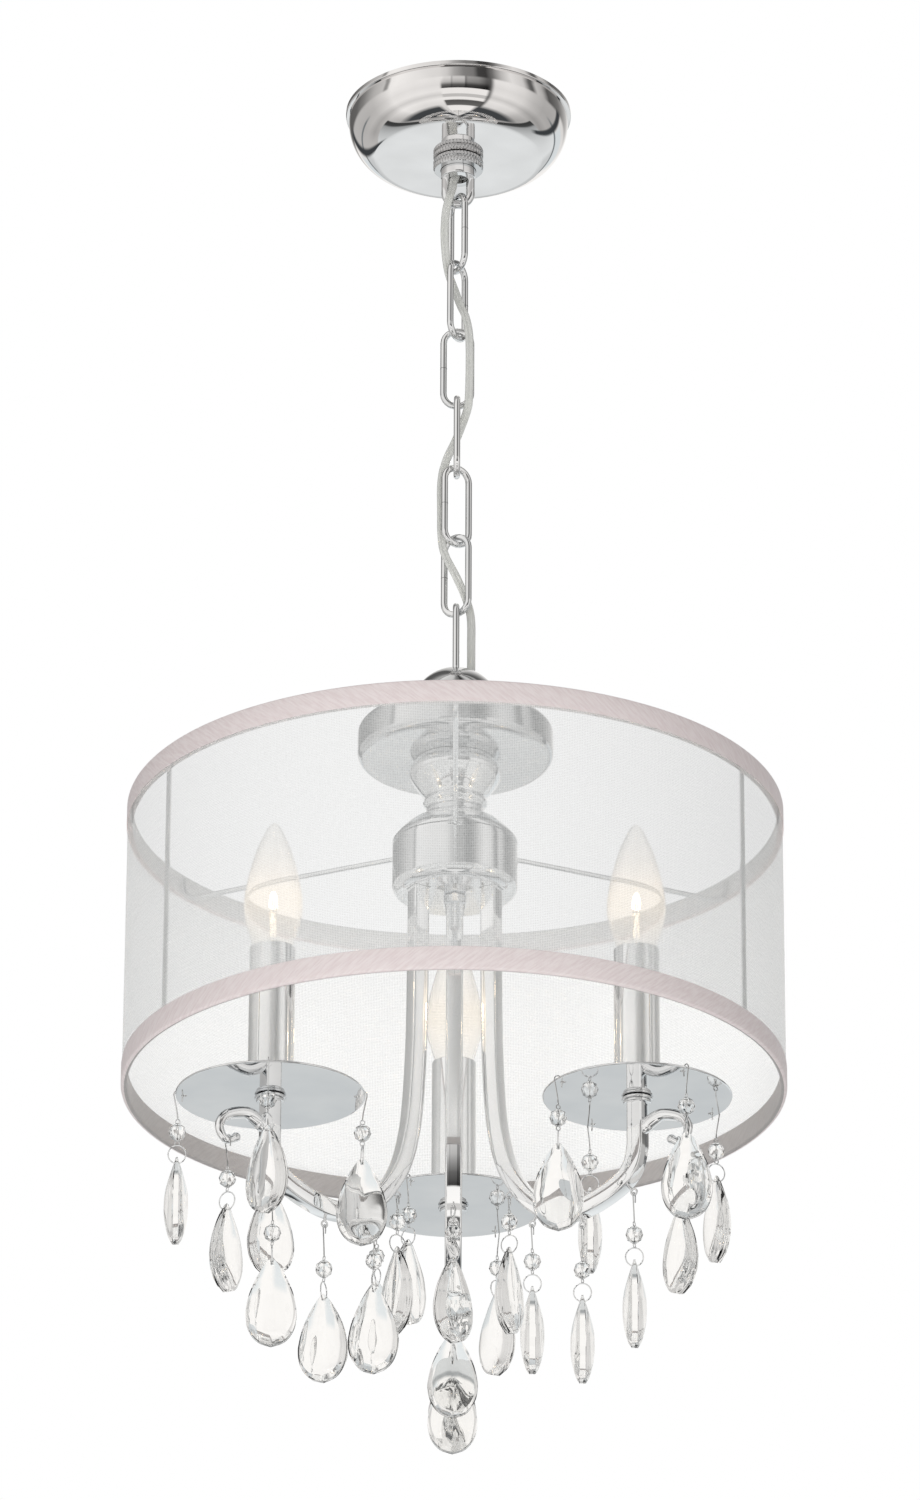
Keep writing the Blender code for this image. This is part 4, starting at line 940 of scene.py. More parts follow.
def loop_rod():
    """The last loop of the chain, the threaded end of the centre rod under the hub, and its nut."""
    wire = put(link_wire("last_loop"), (0, 0, last_link_wire))
    top = last_link_bottom + LINK_WIRE / 2
    bottom = hub_floor - ROD_BELOW_HUB
    radius = ROD_DIAMETER / 2
    profile = [(0.0, top), (radius, top), (radius, hub_floor)]
    turn = ((radius, 0.0), (radius - ROD_THREAD, 0.5))
    profile += threaded(hub_floor - ROD_THREAD_START, bottom + ROD_PITCH, ROD_PITCH, turn)
    profile += [
        (radius - ROD_THREAD, bottom + ROD_POINT_HEIGHT),
        (radius - ROD_POINT_TAPER, bottom),
        (0.0, bottom),
    ]
    shaft = turned("shaft", profile, 32, CHROME, closed=False)
    nut_top = hub_floor - GAP
    nut_floor = nut_top - NUT_HEIGHT
    corner = NUT_ACROSS_FLATS / 2 / math.cos(math.pi / 6)
    outline = [
        (radius, nut_top),
        (corner - NUT_EDGE, nut_top),
        (corner, nut_top - NUT_EDGE),
        (corner, nut_floor + NUT_EDGE),
        (corner - NUT_EDGE, nut_floor),
        (radius, nut_floor),
    ]
    nut = turned("nut", outline, 6, CHROME)
    return put(join("loop_rod_and_nut", [wire, shaft, nut]), azimuth=LINK_AZIMUTHS[-1])


def top_cap():
    dome = arc((0, dome_foot), DOME_RADIUS, math.pi / 2 - DOME_HOLE_ANGLE, 0, 22)
    cove = [
        (DOME_RADIUS + CAP_COVE_WIDTH * out, dome_foot - CAP_COVE_HEIGHT * down)
        for out, down in ((0.08, 0.30), (0.33, 0.65))
    ]
    middle, bend = CUP_DIAMETER / 2 - CUP_SHOULDER, CUP_SHOULDER
    shoulder = arc((middle, cup_top - CUP_SHOULDER_DROP - bend), bend, UP, 0, 10)
    foot = arc((middle, cup_floor + bend), bend, 0, DOWN, 10)
    cove.append((DOME_RADIUS + CAP_COVE_WIDTH, cup_top))
    profile = [*dome, *cove, *shoulder, *foot, (ROD_HOLE / 2, cup_floor)]
    return shell("top_cap_shell", profile, CAP_WALL, BOWL_STEPS, SHADED_STACK_CHROME)


def neck_spool():
    radius = HUB_DIAMETER / 2
    profile = [(share * radius, spool_top - down * SPOOL_HEIGHT) for down, share in SPOOL_SHARES]
    fine = smooth_profile(profile[:-2], 5) + profile[-2:]
    return shell("neck_spool_shell", fine, SPOOL_WALL, HUB_STEPS, SHADED_HUB_CHROME)


def hub():
    """Cup with a square hole in its floor for each arm."""
    radius = HUB_DIAMETER / 2
    corner = arc((radius - HUB_ROUNDING, hub_floor + HUB_ROUNDING), HUB_ROUNDING, 0, DOWN, 10)
    profile = [(radius, hub_top), *corner, (ROD_HOLE / 2, hub_floor)]
    cup = shell("hub_shell", profile, HUB_WALL, HUB_STEPS, SHADED_HUB_CHROME)
    side = ARM_TUBE + 2 * GAP
    tools = [
        put(block("hole", (side, side, HUB_ROUNDING), (ARM_FOOT_RADIUS, 0, hub_floor)), azimuth=azimuth)
        for azimuth in ARM_AZIMUTHS.values()
    ]
    return carved(cup, tools)


# Arms


def arm_place(shares):
    across, down = shares
    return (ARM_FOOT_RADIUS + across * (ARM_REACH - ARM_FOOT_RADIUS), arm_top - down * ARM_DROP)


def scroll_place(shares):
    return (ARM_REACH + shares[0] * SCROLL_REACH, disc_floor + shares[1] * SCROLL_REACH)


def eyelet_centre(side, name):
    if side == "back" and name == "inner_high":
        return arm_place(BACK_INNER_HIGH_SHARE)
    return arm_place(EYELET_SHARES[name])


def arm(side):
    """Bent square tube with its scroll, pad, nipple and eyelets."""
    path = smooth_profile([arm_place(shares) for shares in ARM_SHARES], 7)
    path.append((ARM_REACH, pad_top - COLLAR_PAD_HEIGHT / 2))
    section = square_section(ARM_TUBE, ARM_TUBE_ROUNDING, 4)
    bar = swept("bar", in_plane(path), section, (0, 1, 0), BRIGHTENED_TUBE_CHROME, sharp=50)
    line = smooth_path([(*scroll_place(s), s[2]) for s in SCROLL_SHARES], 6)
    scales = [p.z for p in line]
    scroll = rod("scroll", [(p.x, 0, p.y) for p in line], SCROLL_ROOT, BRIGHTENED_TUBE_CHROME, scales=scales)
    end = line[-1]
    ball = arc((0, 0), SCROLL_ROOT / 2 * end.z * 1.12, DOWN, UP, 12)
    tip = put(turned("tip", ball, 20, CHROME, closed=False), (end.x, 0, end.y))
    pad_radius, bottom = COLLAR_PAD_DIAMETER / 2, pad_top - COLLAR_PAD_HEIGHT
    ridge = COLLAR_PAD_HEIGHT / 4
    upper = arc((pad_radius - ridge, pad_top - ridge), ridge, UP, DOWN, 8)
    lower = arc((pad_radius - 2 * ridge, bottom + ridge), ridge, UP, DOWN, 8)
    pad = turned("pad", [(0, pad_top), *upper, *lower, (0, bottom)], ROUND_STEPS, CHROME, closed=False)
    profile = washer(0, NIPPLE_DIAMETER / 2, nipple_top, pad_top)
    nipple = turned("nipple", profile, 32, CHROME, closed=False)
    for piece in (pad, nipple):
        put(piece, (ARM_REACH, 0, 0))
    pieces = [bar, scroll, tip, pad, nipple]
    radius = (EYELET_DIAMETER - EYELET_WIRE) / 2
    for name in EYELET_SHARES:
        centre = eyelet_centre(side, name)
        ring = in_plane(circle(centre, radius, 20))
        pieces.append(rod("ring", ring, EYELET_WIRE, CHROME, cyclic=True, sides=FINE_SIDES))
        seat = min(path, key=lambda p: math.dist(p, centre))
        share = radius / math.dist(seat, centre)
        start = (centre[0] + share * (seat[0] - centre[0]), centre[1] + share * (seat[1] - centre[1]))
        pieces.append(rod("neck", in_plane([start, seat]), EYELET_STEM, CHROME, sides=10))
    return put(join(f"arm_{side}_tube", pieces, 50), azimuth=ARM_AZIMUTHS[side])


def drip_disc(side):
    """Flat disc with a rounded edge and four small holes."""
    radius, half = DISC_DIAMETER / 2, DISC_THICKNESS / 2
    edge = arc((radius - half, disc_top - half), half, UP, DOWN, 6)
    bore, brink = NIPPLE_HOLE / 2, radius - half - DISC_BRINK
    profile = [(bore, disc_top), (brink, disc_top), *edge, (brink, disc_floor), (bore, disc_floor)]
    disc = turned(f"disc_{side}_plate", profile, 112, CHROME, sharp=50)
    hole_radius = radius - DISC_WEB - DISC_HOLE / 2
    turn = math.radians(DISC_DROPS[side][0][0])
    tools = []
    for i in range(4):
        tool = plug("hole", DISC_HOLE, disc_top + half, disc_floor - half, 24)
        tools.append(put(tool, around(hole_radius, turn + i * math.pi / 2, 0)))
    return put_on_arm(carved(disc, tools), side)


def candle_sleeve(side):
    outer, inner = SLEEVE_DIAMETER / 2, SLEEVE_BORE / 2
    lip = (outer - inner) / 2
    top = arc((outer - lip, sleeve_top - lip), lip, 0, math.pi, 8)
    profile = [(outer, sleeve_foot), *top, (inner, sleeve_foot)]
    return put_on_arm(turned(f"sleeve_{side}_tube", profile, ROUND_STEPS, BRIGHTENED_TUBE_CHROME, sharp=50), side)


def lampholder(side):
    outer, edge = HOLDER_DIAMETER / 2, HOLDER_EDGE
    bulb_bore = BULB_BASE_DIAMETER / 2 + GAP
    bulb_floor = holder_top - BULB_BASE_LENGTH - BULB_CONTACT - GAP
    profile = [
        (0.0, bulb_floor),
        (bulb_bore, bulb_floor + BULB_CONTACT),
        (bulb_bore, holder_top - edge),
        (bulb_bore + edge, holder_top),
        *arc((outer - edge, holder_top - edge), edge, UP, 0, 5),
        (outer, sleeve_foot),
        (NIPPLE_HOLE / 2, sleeve_foot),
        (NIPPLE_HOLE / 2, nipple_top + GAP),
        (0.0, nipple_top + GAP),
    ]
    return put_on_arm(turned(f"holder_{side}_body", profile, 48, CERAMIC, closed=False), side)


def bulb(side):
    """Clear flame bulb: glass shell, threaded cap, stem, lit filament and leads, each with its slot."""
    radius, base = BULB_DIAMETER / 2, BULB_BASE_DIAMETER / 2
    skin = smooth_profile([(share * radius, up * BULB_HEIGHT) for up, share in BULB_SHARES], 6)
    skin += [(base - BULB_NECK_TUCK, 0.0004), (base - BULB_NECK_TUCK, -0.002)]
    inside = [(max(r - BULB_WALL, 0.0), z) for r, z in skin]
    inside[0] = (0.0, skin[0][1] - BULB_CROWN)
    glass = BACK_LAMP_GLASS if side == "back" else LAMP_GLASS
    profile = [*skin, *reversed(inside)]
    envelope = turned(f"bulb_{side}_glass", profile, 56, glass, closed=False, sharp=60)
    profile = [(base - 0.0006, 0.0012), (base - 0.0002, 0.0006)]
    turn = ((base - BULB_THREAD, 0.25), (base, 0.6))
    profile += threaded(0.0, -BULB_BASE_LENGTH + 2 * BULB_PITCH, BULB_PITCH, turn)
    profile += [
        (base - BULB_THREAD, -BULB_BASE_LENGTH + 0.002),
        (base * 0.55, -BULB_BASE_LENGTH),
        (base * 0.35, -BULB_BASE_LENGTH - BULB_CONTACT * 0.8),
        (0.0, -BULB_BASE_LENGTH - BULB_CONTACT),
    ]
    cap = turned(f"bulb_{side}_cap", profile, 40, LAMP_CAP, closed=False)
    stem = turned(f"bulb_{side}_stem", smooth_profile(BULB_STEM, 3), 20, CLEAR_GLASS, closed=False)
    coil, steps = [], FILAMENT_TURNS * 12
    for i in range(steps + 1):
        share = i / steps
        across = FILAMENT_HALF_WIDTH * math.cos(share * math.pi)
        depth = FILAMENT_COIL_RADIUS * math.sin(share * FILAMENT_TURNS * math.tau)
        bow = math.sin(share * math.pi)
        coil.append((across, depth, FILAMENT_FOOT + (FILAMENT_TOP - FILAMENT_FOOT) * bow))
    filament = rod(f"bulb_{side}_filament", coil, FILAMENT_THICKNESS, FILAMENT, sides=6)
    lines = [([(way * x, 0, z) for x, z in LEAD_POINTS], LEAD_WIRE) for way in (-1, 1)]
    lines.append(([(0, 0, 0.025), (0, 0.0003, FILAMENT_TOP - 0.0002)], SUPPORT_WIRE))
    leads = [rod("lead", line, wire, WIRE_CHROME, sides=6) for line, wire in lines]
    leads = join(f"bulb_{side}_leads", leads)
    slots = ("bulb_glass", "chrome", "bulb_glass", "bulb_glass", "chrome")
    pieces = [put_on_arm(piece, side, holder_top) for piece in (envelope, cap, stem, filament, leads)]
    return zip(pieces, slots)


# Shade


def shade_frame():
    """Spider with its hub, three rods and tabs, the two rings and three struts."""
    hub_radius = HUB_DIAMETER / 2 - SPIDER_HUB_INSET
    profile = washer(ROD_HOLE / 2, hub_radius, spider_top, spider_top - SPIDER_HUB_THICKNESS)
    pieces = [turned("washer", profile, HUB_STEPS, CHROME)]
    for level in (top_ring_level, bottom_ring_level):
        ring = [(x, y, level) for x, y in circle((0, 0), shade_ring_radius, DRUM_STEPS)]
        pieces.append(rod("ring", ring, SHADE_RING_WIRE, CHROME, cyclic=True, sides=10, across=(0, 0, 1)))
    strut_size = (STRUT_THICKNESS, STRUT_WIDTH, top_ring_level - bottom_ring_level)
    strut_radius = shade_ring_radius - SHADE_RING_WIRE / 2 + STRUT_THICKNESS / 2
    strut_middle = (strut_radius, 0, (top_ring_level + bottom_ring_level) / 2)
    tab_size = (SPIDER_HUB_INSET + SPIDER_TAB_REACH + hub_radius / 2, SPIDER_TAB_WIDTH, SPIDER_HUB_THICKNESS)
    tab_middle = (HUB_DIAMETER / 2 + SPIDER_TAB_REACH - tab_size[0] / 2, 0, spider_level)
    start = HUB_DIAMETER / 2 + SPIDER_HUB_INSET + GAP
    reach, rise = riser_radius - start, top_ring_level - spider_level
    line = [(start + out * reach, spider_level + up * rise) for out, up in SPIDER_RISE_SHARES]
    line.append((riser_radius, top_ring_level - SHADE_RING_WIRE))
    line = in_plane(smooth_profile(line, 6))
    for azimuth in ARM_AZIMUTHS.values():
        pieces.append(put(block("strut", strut_size, strut_middle, CHROME), azimuth=azimuth))
        tab = block("tab", tab_size, tab_middle, CHROME)
        wire = rod("wire", line, SPIDER_WIRE, CHROME, sides=12)
        pieces += [put(piece, azimuth=azimuth + math.pi) for piece in (tab, wire)]
    return join("shade_frame_wires", pieces)


def wrapped(name, profile, steps, material):
    """A single layer of cloth round the drum, with a map in metres of cloth."""
    mesh = bpy.data.meshes.new(name)
    count = len(profile)
    mesh.from_pydata(round_points(profile, steps), [], quads(steps, count, closed=False))
    along = lengths_along(profile)
    layer = mesh.uv_layers.new(name="cloth")
    girth = math.tau * max(r for r, _ in profile)
    for f, polygon in enumerate(mesh.polygons):
        i, k = divmod(f, count - 1)
        spots = ((i, k), (i + 1, k), (i + 1, k + 1), (i, k + 1))
        for loop, (a, b) in zip(polygon.loop_indices, spots):
            layer.data[loop].uv = (girth * a / steps, along[b])
    return add_object(name, mesh, material, 60)


def shade_fabric():
    """The organza and its flat size."""
    top = top_ring_level + SHADE_RING_WIRE / 4
    bottom = bottom_ring_level - SHADE_RING_WIRE / 4
    radius = shade_ring_radius + SHADE_RING_WIRE / 2 + CLOTH_GAP
    rows = 10
    profile = [(radius, bottom + (top - bottom) * i / rows) for i in range(rows + 1)]
    return wrapped("shade_organza", profile, DRUM_STEPS, ORGANZA), (math.tau * radius, top - bottom)


def shade_trim(name, edge, way, lining):
    """Silk folded over a ring, with soft corners and a plain lining inside, and its flat size."""
    outer, inner = shade_radius - CLOTH_GAP, trim_inner_radius + CLOTH_GAP
    fold = (outer - inner) / 2
    lip = edge + way * TRIM_HEIGHT
    middle = (outer + inner) / 2
    turn = [
        (middle + fold * math.cos(a), edge + way * (fold * 0.75 - fold * 0.75 * math.sin(a)))
        for a in (math.pi * i / 8 for i in range(9))
    ]
    near_lip, waist = lip - way * TRIM_LIP_HEIGHT, edge + way * TRIM_WAIST
    profile = [(outer - TRIM_LIP_INWARD, lip), (outer, near_lip), (outer, waist), *turn]
    profile += [(inner, waist), (inner, near_lip), (inner + TRIM_LIP_OUTWARD, lip)]
    band = wrapped(name, profile, DRUM_STEPS, SILK)
    band.data.materials.append(lining)
    for f, polygon in enumerate(band.data.polygons):
        polygon.material_index = int(f % (len(profile) - 1) >= len(profile) // 2)
    return band, (math.tau * outer, lengths_along(profile)[-1])


# Crystal strands


def drop_outline():
    """Half-width and level of an almond drop from its tip down, as shares, in steps of one length."""
    steps = 60
    fine = smooth_path([(d * DROP_HEIGHT, w * DROP_WIDTH / 2, 0) for d, w in DROP_SHARES], 24)
    run = [0.0]
    for a, b in zip(fine, fine[1:]):
        run.append(run[-1] + (b - a).length)
    even, k = [], 0
    for i in range(steps + 1):
        wanted = run[-1] * i / steps
        while k < len(run) - 2 and run[k + 1] < wanted:
            k += 1
        place = fine[k].lerp(fine[k + 1], (wanted - run[k]) / (run[k + 1] - run[k]))
        even.append((place.x / DROP_HEIGHT, place.y / (DROP_WIDTH / 2)))
    return even


def crease(mesh, angle):
    """Sharp edges where faces meet at more than the angle, but not where an edge runs front to back."""
    mesh.shade_smooth()
    shape = bmesh.new()
    shape.from_mesh(mesh)
    for edge in shape.edges:
        a, b = (vertex.co for vertex in edge.verts)
        along = (b - a).normalized()
        edge.smooth = edge.calc_face_angle(0.0) < angle or abs(along.y) > 0.35
    shape.to_mesh(mesh)
    shape.free()


def drop_mesh():
    """Smooth almond drop: flat girdle, narrow bevel and domed face on each side, drilled near its tip."""
    half = drop_outline()
    outline = [(w, -d) for d, w in half] + [(-w, -d) for d, w in reversed(half[1:-1])]
    count = len(outline)
    beside = [(k, (k + 1) % count) for k in range(count)]
    rings = [(1.0, DROP_GIRDLE)]
    domes = 12
    for i in range(domes):
        inward = 1 - i / domes
        rings.append((DROP_BEVEL * inward, DROP_BEVEL_DEPTH + (1 - DROP_BEVEL_DEPTH) * (1 - inward**2)))
    points, faces = [], []
    for way in (1, -1):
        start = len(points)
        for share, thick in rings:
            for x, z in outline:
                level = DROP_MIDDLE + (z - DROP_MIDDLE) * share
                taper = 1.0 - DROP_TAPER * max(0.0, 1.0 + level / DROP_TAPER_LENGTH) ** 2
                depth = way * thick * taper * DROP_DEPTH / 2
                points.append((x * share * DROP_WIDTH / 2, depth, level * DROP_HEIGHT))
        points.append((0.0, way * DROP_DEPTH / 2, DROP_MIDDLE * DROP_HEIGHT))
        centre = len(points) - 1
        for r in range(len(rings) - 1):
            row, inner = start + r * count, start + (r + 1) * count
            faces += [(row + k, row + m, inner + m, inner + k) for k, m in beside]
        last = start + (len(rings) - 1) * count
        faces += [(last + k, last + m, centre) for k, m in beside]
    other_side = len(rings) * count + 1
    faces += [(k, m, other_side + m, other_side + k) for k, m in beside]
    drop = add_object("drop", mesh_of("drop", points, faces))
    hole = plug("drop_hole", DROP_HOLE, DROP_DEPTH, -DROP_DEPTH, 20)
    through = Matrix.Rotation(math.pi / 2, 4, "X")
    hole.data.transform(Matrix.Translation((0, 0, -DROP_HOLE_BELOW_TIP)) @ through)
    mesh = carved(drop, [hole]).data
    bpy.data.objects.remove(drop, do_unlink=True)
    mesh.materials.append(CRYSTAL)
    crease(mesh, DROP_CREASE)
    return mesh


def bead_mesh():
    """Bead cut with rows of eight facets and flat ends."""
    radius, sides = BEAD_DIAMETER / 2, 8
    rings = [(0.94, 0.34, 0.0), (0.58, 0.82, 0.5), (0.0, 1.0, 0.0), (-0.58, 0.82, 0.5), (-0.94, 0.34, 0.0)]
    points, faces = [], []
    for up, out, shift in rings:
        for i in range(sides):
            turn = math.tau * (i + shift) / sides
            points.append((radius * out * math.cos(turn), radius * out * math.sin(turn), radius * up))
    for r in range(len(rings) - 1):
        for i in range(sides):
            j = (i + 1) % sides
            a, b = r * sides + i, r * sides + j
            c, d = a + sides, b + sides
            faces += [(a, d, c), (a, b, d)] if rings[r][2] else [(a, b, c), (b, d, c)]
    faces += [tuple(range(sides)), tuple(reversed(range((len(rings) - 1) * sides, len(rings) * sides)))]
    mesh = mesh_of("bead", points, faces)
    mesh.materials.append(BEAD_CRYSTAL)
    mesh.shade_flat()
    return mesh


def strand_wires(name, hook_radius, hang, turn):
    """Hook over the pivot, loops above and below the bead, and the ring that pinches the drop."""
    bead_radius = BEAD_DIAMETER / 2
    eye_level = bead_radius - hang + EYE_RADIUS
    short = [(-hook_radius * 0.9, -HOOK_SHORT_LEG), (-hook_radius * 1.02, -HOOK_SHORT_LEG / 2)]
    over = arc((0, 0), hook_radius, math.pi + 0.25, 0, 14)
    down = [
        (hook_radius * 0.9, -hook_radius * 0.6),
        (0.0003, -(hook_radius + hang - bead_radius) * 0.55),
        (0.0, eye_level + EYE_RADIUS),
    ]
    hook = smooth_profile([*short, *over, *down], 2)
    pieces = [rod("hook", in_plane(hook), STRAND_WIRE, WIRE_CHROME, sides=FINE_SIDES)]
    bead_foot = -hang - bead_radius
    for level in (eye_level, bead_foot - EYE_RADIUS):
        eye = in_plane(circle((0, level), EYE_RADIUS, 12))
        pieces.append(rod("eye", eye, PIN_WIRE, WIRE_CHROME, cyclic=True, sides=6))
    pin = [(0, 0, eye_level - EYE_RADIUS), (0, 0, bead_foot)]
    pieces.append(rod("pin", pin, PIN_WIRE, WIRE_CHROME, sides=6))
    radius = (DROP_RING_DIAMETER - HOOK_WIRE) / 2
    middle = bead_foot - RING_BELOW_BEAD - DROP_RING_DIAMETER / 2
    spots = [math.tau * i / 24 for i in range(24)]
    shape = [(radius * 0.92 * math.cos(a), middle + radius * math.sin(a)) for a in spots]
    ring = rod("ring", in_plane(shape), STRAND_WIRE, CHROME, cyclic=True, sides=FINE_SIDES)
    pieces.append(put(ring, azimuth=turn + math.pi / 2))
    return join(name, pieces)


DROP = drop_mesh()
BEAD = bead_mesh()


def crystal_strand(node, hook_radius, hang, pivot, azimuth, broad):
    """Hangs a strand from its pivot, with its drop's broad side square to an angle in degrees."""
    broad = math.radians(broad)
    wires = strand_wires(node + "_wire", hook_radius, hang, broad - azimuth)
    bead, drop = linked(node + "_bead", BEAD), linked(node + "_drop", DROP)
    for piece, slot, below, turn in (
        (drop, "crystal_glass", hang + DROP_BELOW_BEAD, broad),
        (bead, "crystal_glass", hang, broad),
        (wires, "chrome", 0, azimuth),
    ):
        piece.location = pivot - Vector((0, 0, below))
        piece.rotation_euler.z = turn
        stands_for(piece, node, node)


def disc_strand(side, index, hole, broad):
    azimuth = math.radians(hole)
    centre = around(ARM_REACH, ARM_AZIMUTHS[side], (disc_top + disc_floor) / 2)
    pivot = centre + around((DISC_DIAMETER - DISC_WEB) / 2, azimuth, 0)
    radius = (DISC_WEB + HOOK_WIRE) / 2 + GAP
    crystal_strand(f"crystal_{side}_disc_{index + 1}", radius, HANG_FROM_DISC, pivot, azimuth, broad)


def arm_strand(side, name, broad):
    if name == "scroll":
        seat = scroll_place(SCROLL_HOOK_SHARE)
        radius = (SCROLL_ROOT * SCROLL_HOOK_SHARE[2] + HOOK_WIRE) / 2 + GAP
        hang = HANG_FROM_SCROLL
    else:
        centre = eyelet_centre(side, name)
        seat = (centre[0], centre[1] - (EYELET_DIAMETER - EYELET_WIRE) / 2)
        radius = (EYELET_WIRE + HOOK_WIRE) / 2 + GAP
        hang = HANG_FROM_EYELET[name]
    azimuth = ARM_AZIMUTHS[side]
    pivot = around(seat[0], azimuth, seat[1])
    crystal_strand(f"crystal_{side}_{name}", radius, hang, pivot, azimuth - math.pi / 2, broad)


# Put it together

stands_for(canopy(), "canopy", "canopy")
stands_for(collar_ring(), "collar_ring", "collar_ring")
stands_for(collar_loop(), "ceiling_mount", "collar_loop")
for number in range(LINK_COUNT):
    stands_for(chain_link(number), f"link_{number + 1}", f"chain_link_{number + 1}")
cord_pieces()
for node, build in (
    ("loop_rod", loop_rod), ("top_cap", top_cap), ("neck_spool", neck_spool), ("hub", hub),
    ("shade_frame", shade_frame),
):
    stands_for(build(), "fixture", node)

organza_sheet, organza_flat = shade_fabric()
stands_for(organza_sheet, "fixture", "shade_fabric")
for trim_name, node, edge, way, lining in (
    ("trim_top_silk", "shade_top_trim", shade_top, -1, PALE_LINING),
    ("trim_bottom_silk", "shade_bottom_trim", shade_bottom, 1, SHADED_GREY_LINING),
):
    trim, trim_flat = shade_trim(trim_name, edge, way, lining)
    stands_for(trim, "fixture", node)

for side in ARM_AZIMUTHS:
    for node, build, slot in (
        ("arm_", arm, "chrome"), ("bobeche_", drip_disc, "chrome"),
        ("candle_sleeve_", candle_sleeve, "chrome"), ("lampholder_", lampholder, "lampholder"),
    ):
        stands_for(build(side), "fixture", node + side)
    for piece, slot in bulb(side):
        stands_for(piece, "bulb_" + side, "bulb_" + side)
    for number, hole in enumerate(DISC_DROPS[side]):
        disc_strand(side, number, *hole)
    for name, broad in ARM_DROPS[side].items():
        arm_strand(side, name, broad)

for name, item in frame["nodes"].items():
    item.data.materials.clear()
    item.data.materials.append(ZINC if name == "crossbar" else CHROME)


# Studio


def floor():
    """Round pale floor that fades out, so metal shows the studio beyond it."""
    made = Finish("studio_floor")
    where = made.place()
    cloud = made.noise(where, 1.3, 4.0)
    far = made.add("ShaderNodeVectorMath", {0: where}, operation="LENGTH").outputs["Value"]
    mesh = bpy.data.meshes.new("studio_floor")
    rim = [(x, y, 0) for x, y in circle((0, 0), FLOOR_RADIUS, ROUND_STEPS)]
    mesh.from_pydata(rim, [], [tuple(range(ROUND_STEPS))])
    mesh.materials.append(
        made.values(
            Base_Color=made.tint(cloud, (0.80, 0.81, 0.83), (0.84, 0.85, 0.86)),
            Roughness=made.span(cloud, 0.55, 0.7),
            Alpha=made.span(far, 1.0, 0.0, 0.7, 1.9),
        )
    )
    plane = linked("studio_floor", mesh)
    plane.location.z = FLOOR_LEVEL
    plane.visible_glossy = plane.visible_transmission = False


def lamp(name, kind, place, energy, **settings):
    """A soft lamp for cloth and glass; metal shows the softboxes of the world instead."""
    light = bpy.data.lights.new(name, kind)
    light.energy = energy
    for key, value in settings.items():
        setattr(light, key, value)
    item = linked(name, light)
    item.location = place
    item.visible_camera = item.visible_glossy = item.visible_transmission = False
    return item


def area_light(name, place, size, energy):
    item = lamp(name, "AREA", place, energy, shape="RECTANGLE", size=size[0], size_y=size[1])
    item.rotation_euler = (LIT_POINT - Vector(place)).to_track_quat("-Z", "Y").to_euler()


# What metal shows round it at eye level: softboxes, flags and the white behind. The places are
# degrees of turn from the camera's side, or of rise above eye level.
WALLS = [
    (-180, 1.0), (-157, 1.0), (-153, 0.54), (-126, 0.54), (-97, 0.64), (-80, 0.85), (-72, 1.0), (-45, 0.93),
    (-17, 1.0), (-15, 0.86), (-8, 0.84), (-7, 0.50), (-6, 0.74), (6, 0.70), (7, 0.22), (9, 0.42), (20, 0.34),
    (28, 0.14), (33, 0.12), (37, 0.92), (50, 0.95), (70, 0.84), (84, 0.62), (97, 0.50), (119, 0.50),
    (130, 0.80), (160, 0.85), (164, 1.0), (180, 1.0),
]
# The same for what glass shows through itself
GLASS_WALLS = [
    (-180, 1.0), (-148, 1.0), (-138, 0.56), (-112, 0.70), (-97, 0.76), (-80, 0.60), (-72, 0.98), (-20, 1.0),
    (-15, 0.54), (33, 0.52), (38, 0.97), (80, 0.94), (92, 0.60), (112, 0.66), (138, 0.52), (148, 1.0),
    (180, 1.0),
]
# The walls above eye level, where upright tubes and cups reflect them
UPPER_WALLS = [
    (-180, 0.90), (-168, 0.60), (-157, 0.12), (-130, 0.14), (-115, 0.26), (-97, 0.52), (-84, 0.62),
    (-81, 0.30), (-78, 0.36), (-75, 0.95), (-67, 1.0), (-45, 0.90), (-20, 0.86), (-12, 0.74), (-5, 0.46),
    (5, 0.26), (15, 0.22), (20, 0.06), (28, 0.05), (35, 0.18), (45, 0.58), (56, 0.86), (70, 0.70),
    (78, 0.14), (82, 0.12), (88, 0.62), (96, 0.50), (106, 0.10), (126, 0.20), (150, 0.55), (166, 0.95),
    (180, 1.0),
]
# How the softboxes vary up and down
SOFTBOX_RISE = [
    (-90, 0.66), (-70, 0.74), (-50, 0.90), (-38, 1.0), (-28, 0.76), (-18, 0.98), (-4, 0.90), (8, 0.97),
    (34, 1.0), (50, 0.92), (58, 0.50), (90, 0.55),
]
# The middle flag gets darker downwards, then three white bars cross it
FLAG_RISE = [
    (-90, 0.80), (-74, 0.78), (-73, 1.0), (-58, 1.0), (-56, 0.16), (-43, 0.10), (-41, 1.0), (-35, 1.0),
    (-34, 0.62), (-27, 0.62), (-26, 1.0), (-13, 1.0), (-12, 0.06), (-5, 0.20), (2, 0.75), (12, 1.0),
]
# The floor beyond the object, from below it out to the horizon
GROUND = [
    (0.0, 0.05), (0.07, 0.07), (0.12, 0.40), (0.30, 0.60), (0.60, 0.84), (0.74, 0.885), (0.81, 0.69),
    (0.90, 0.66), (1.0, 0.56),
]
# How far below the horizon the walls reach, as a sine, by degrees of turn
WALL_DEPTH = [
    (-180, 0.12), (-154, 0.12), (-150, 0.54), (-90, 0.60), (90, 0.60), (119, 0.52), (127, 0.12), (180, 0.12),
]


def window(*edges):
    """Stops of a tone that rises from 0 to 1 and falls again, with four places for each time."""
    return [(at, 1.0 if i % 4 in (1, 2) else 0.0) for i, at in enumerate(edges)]


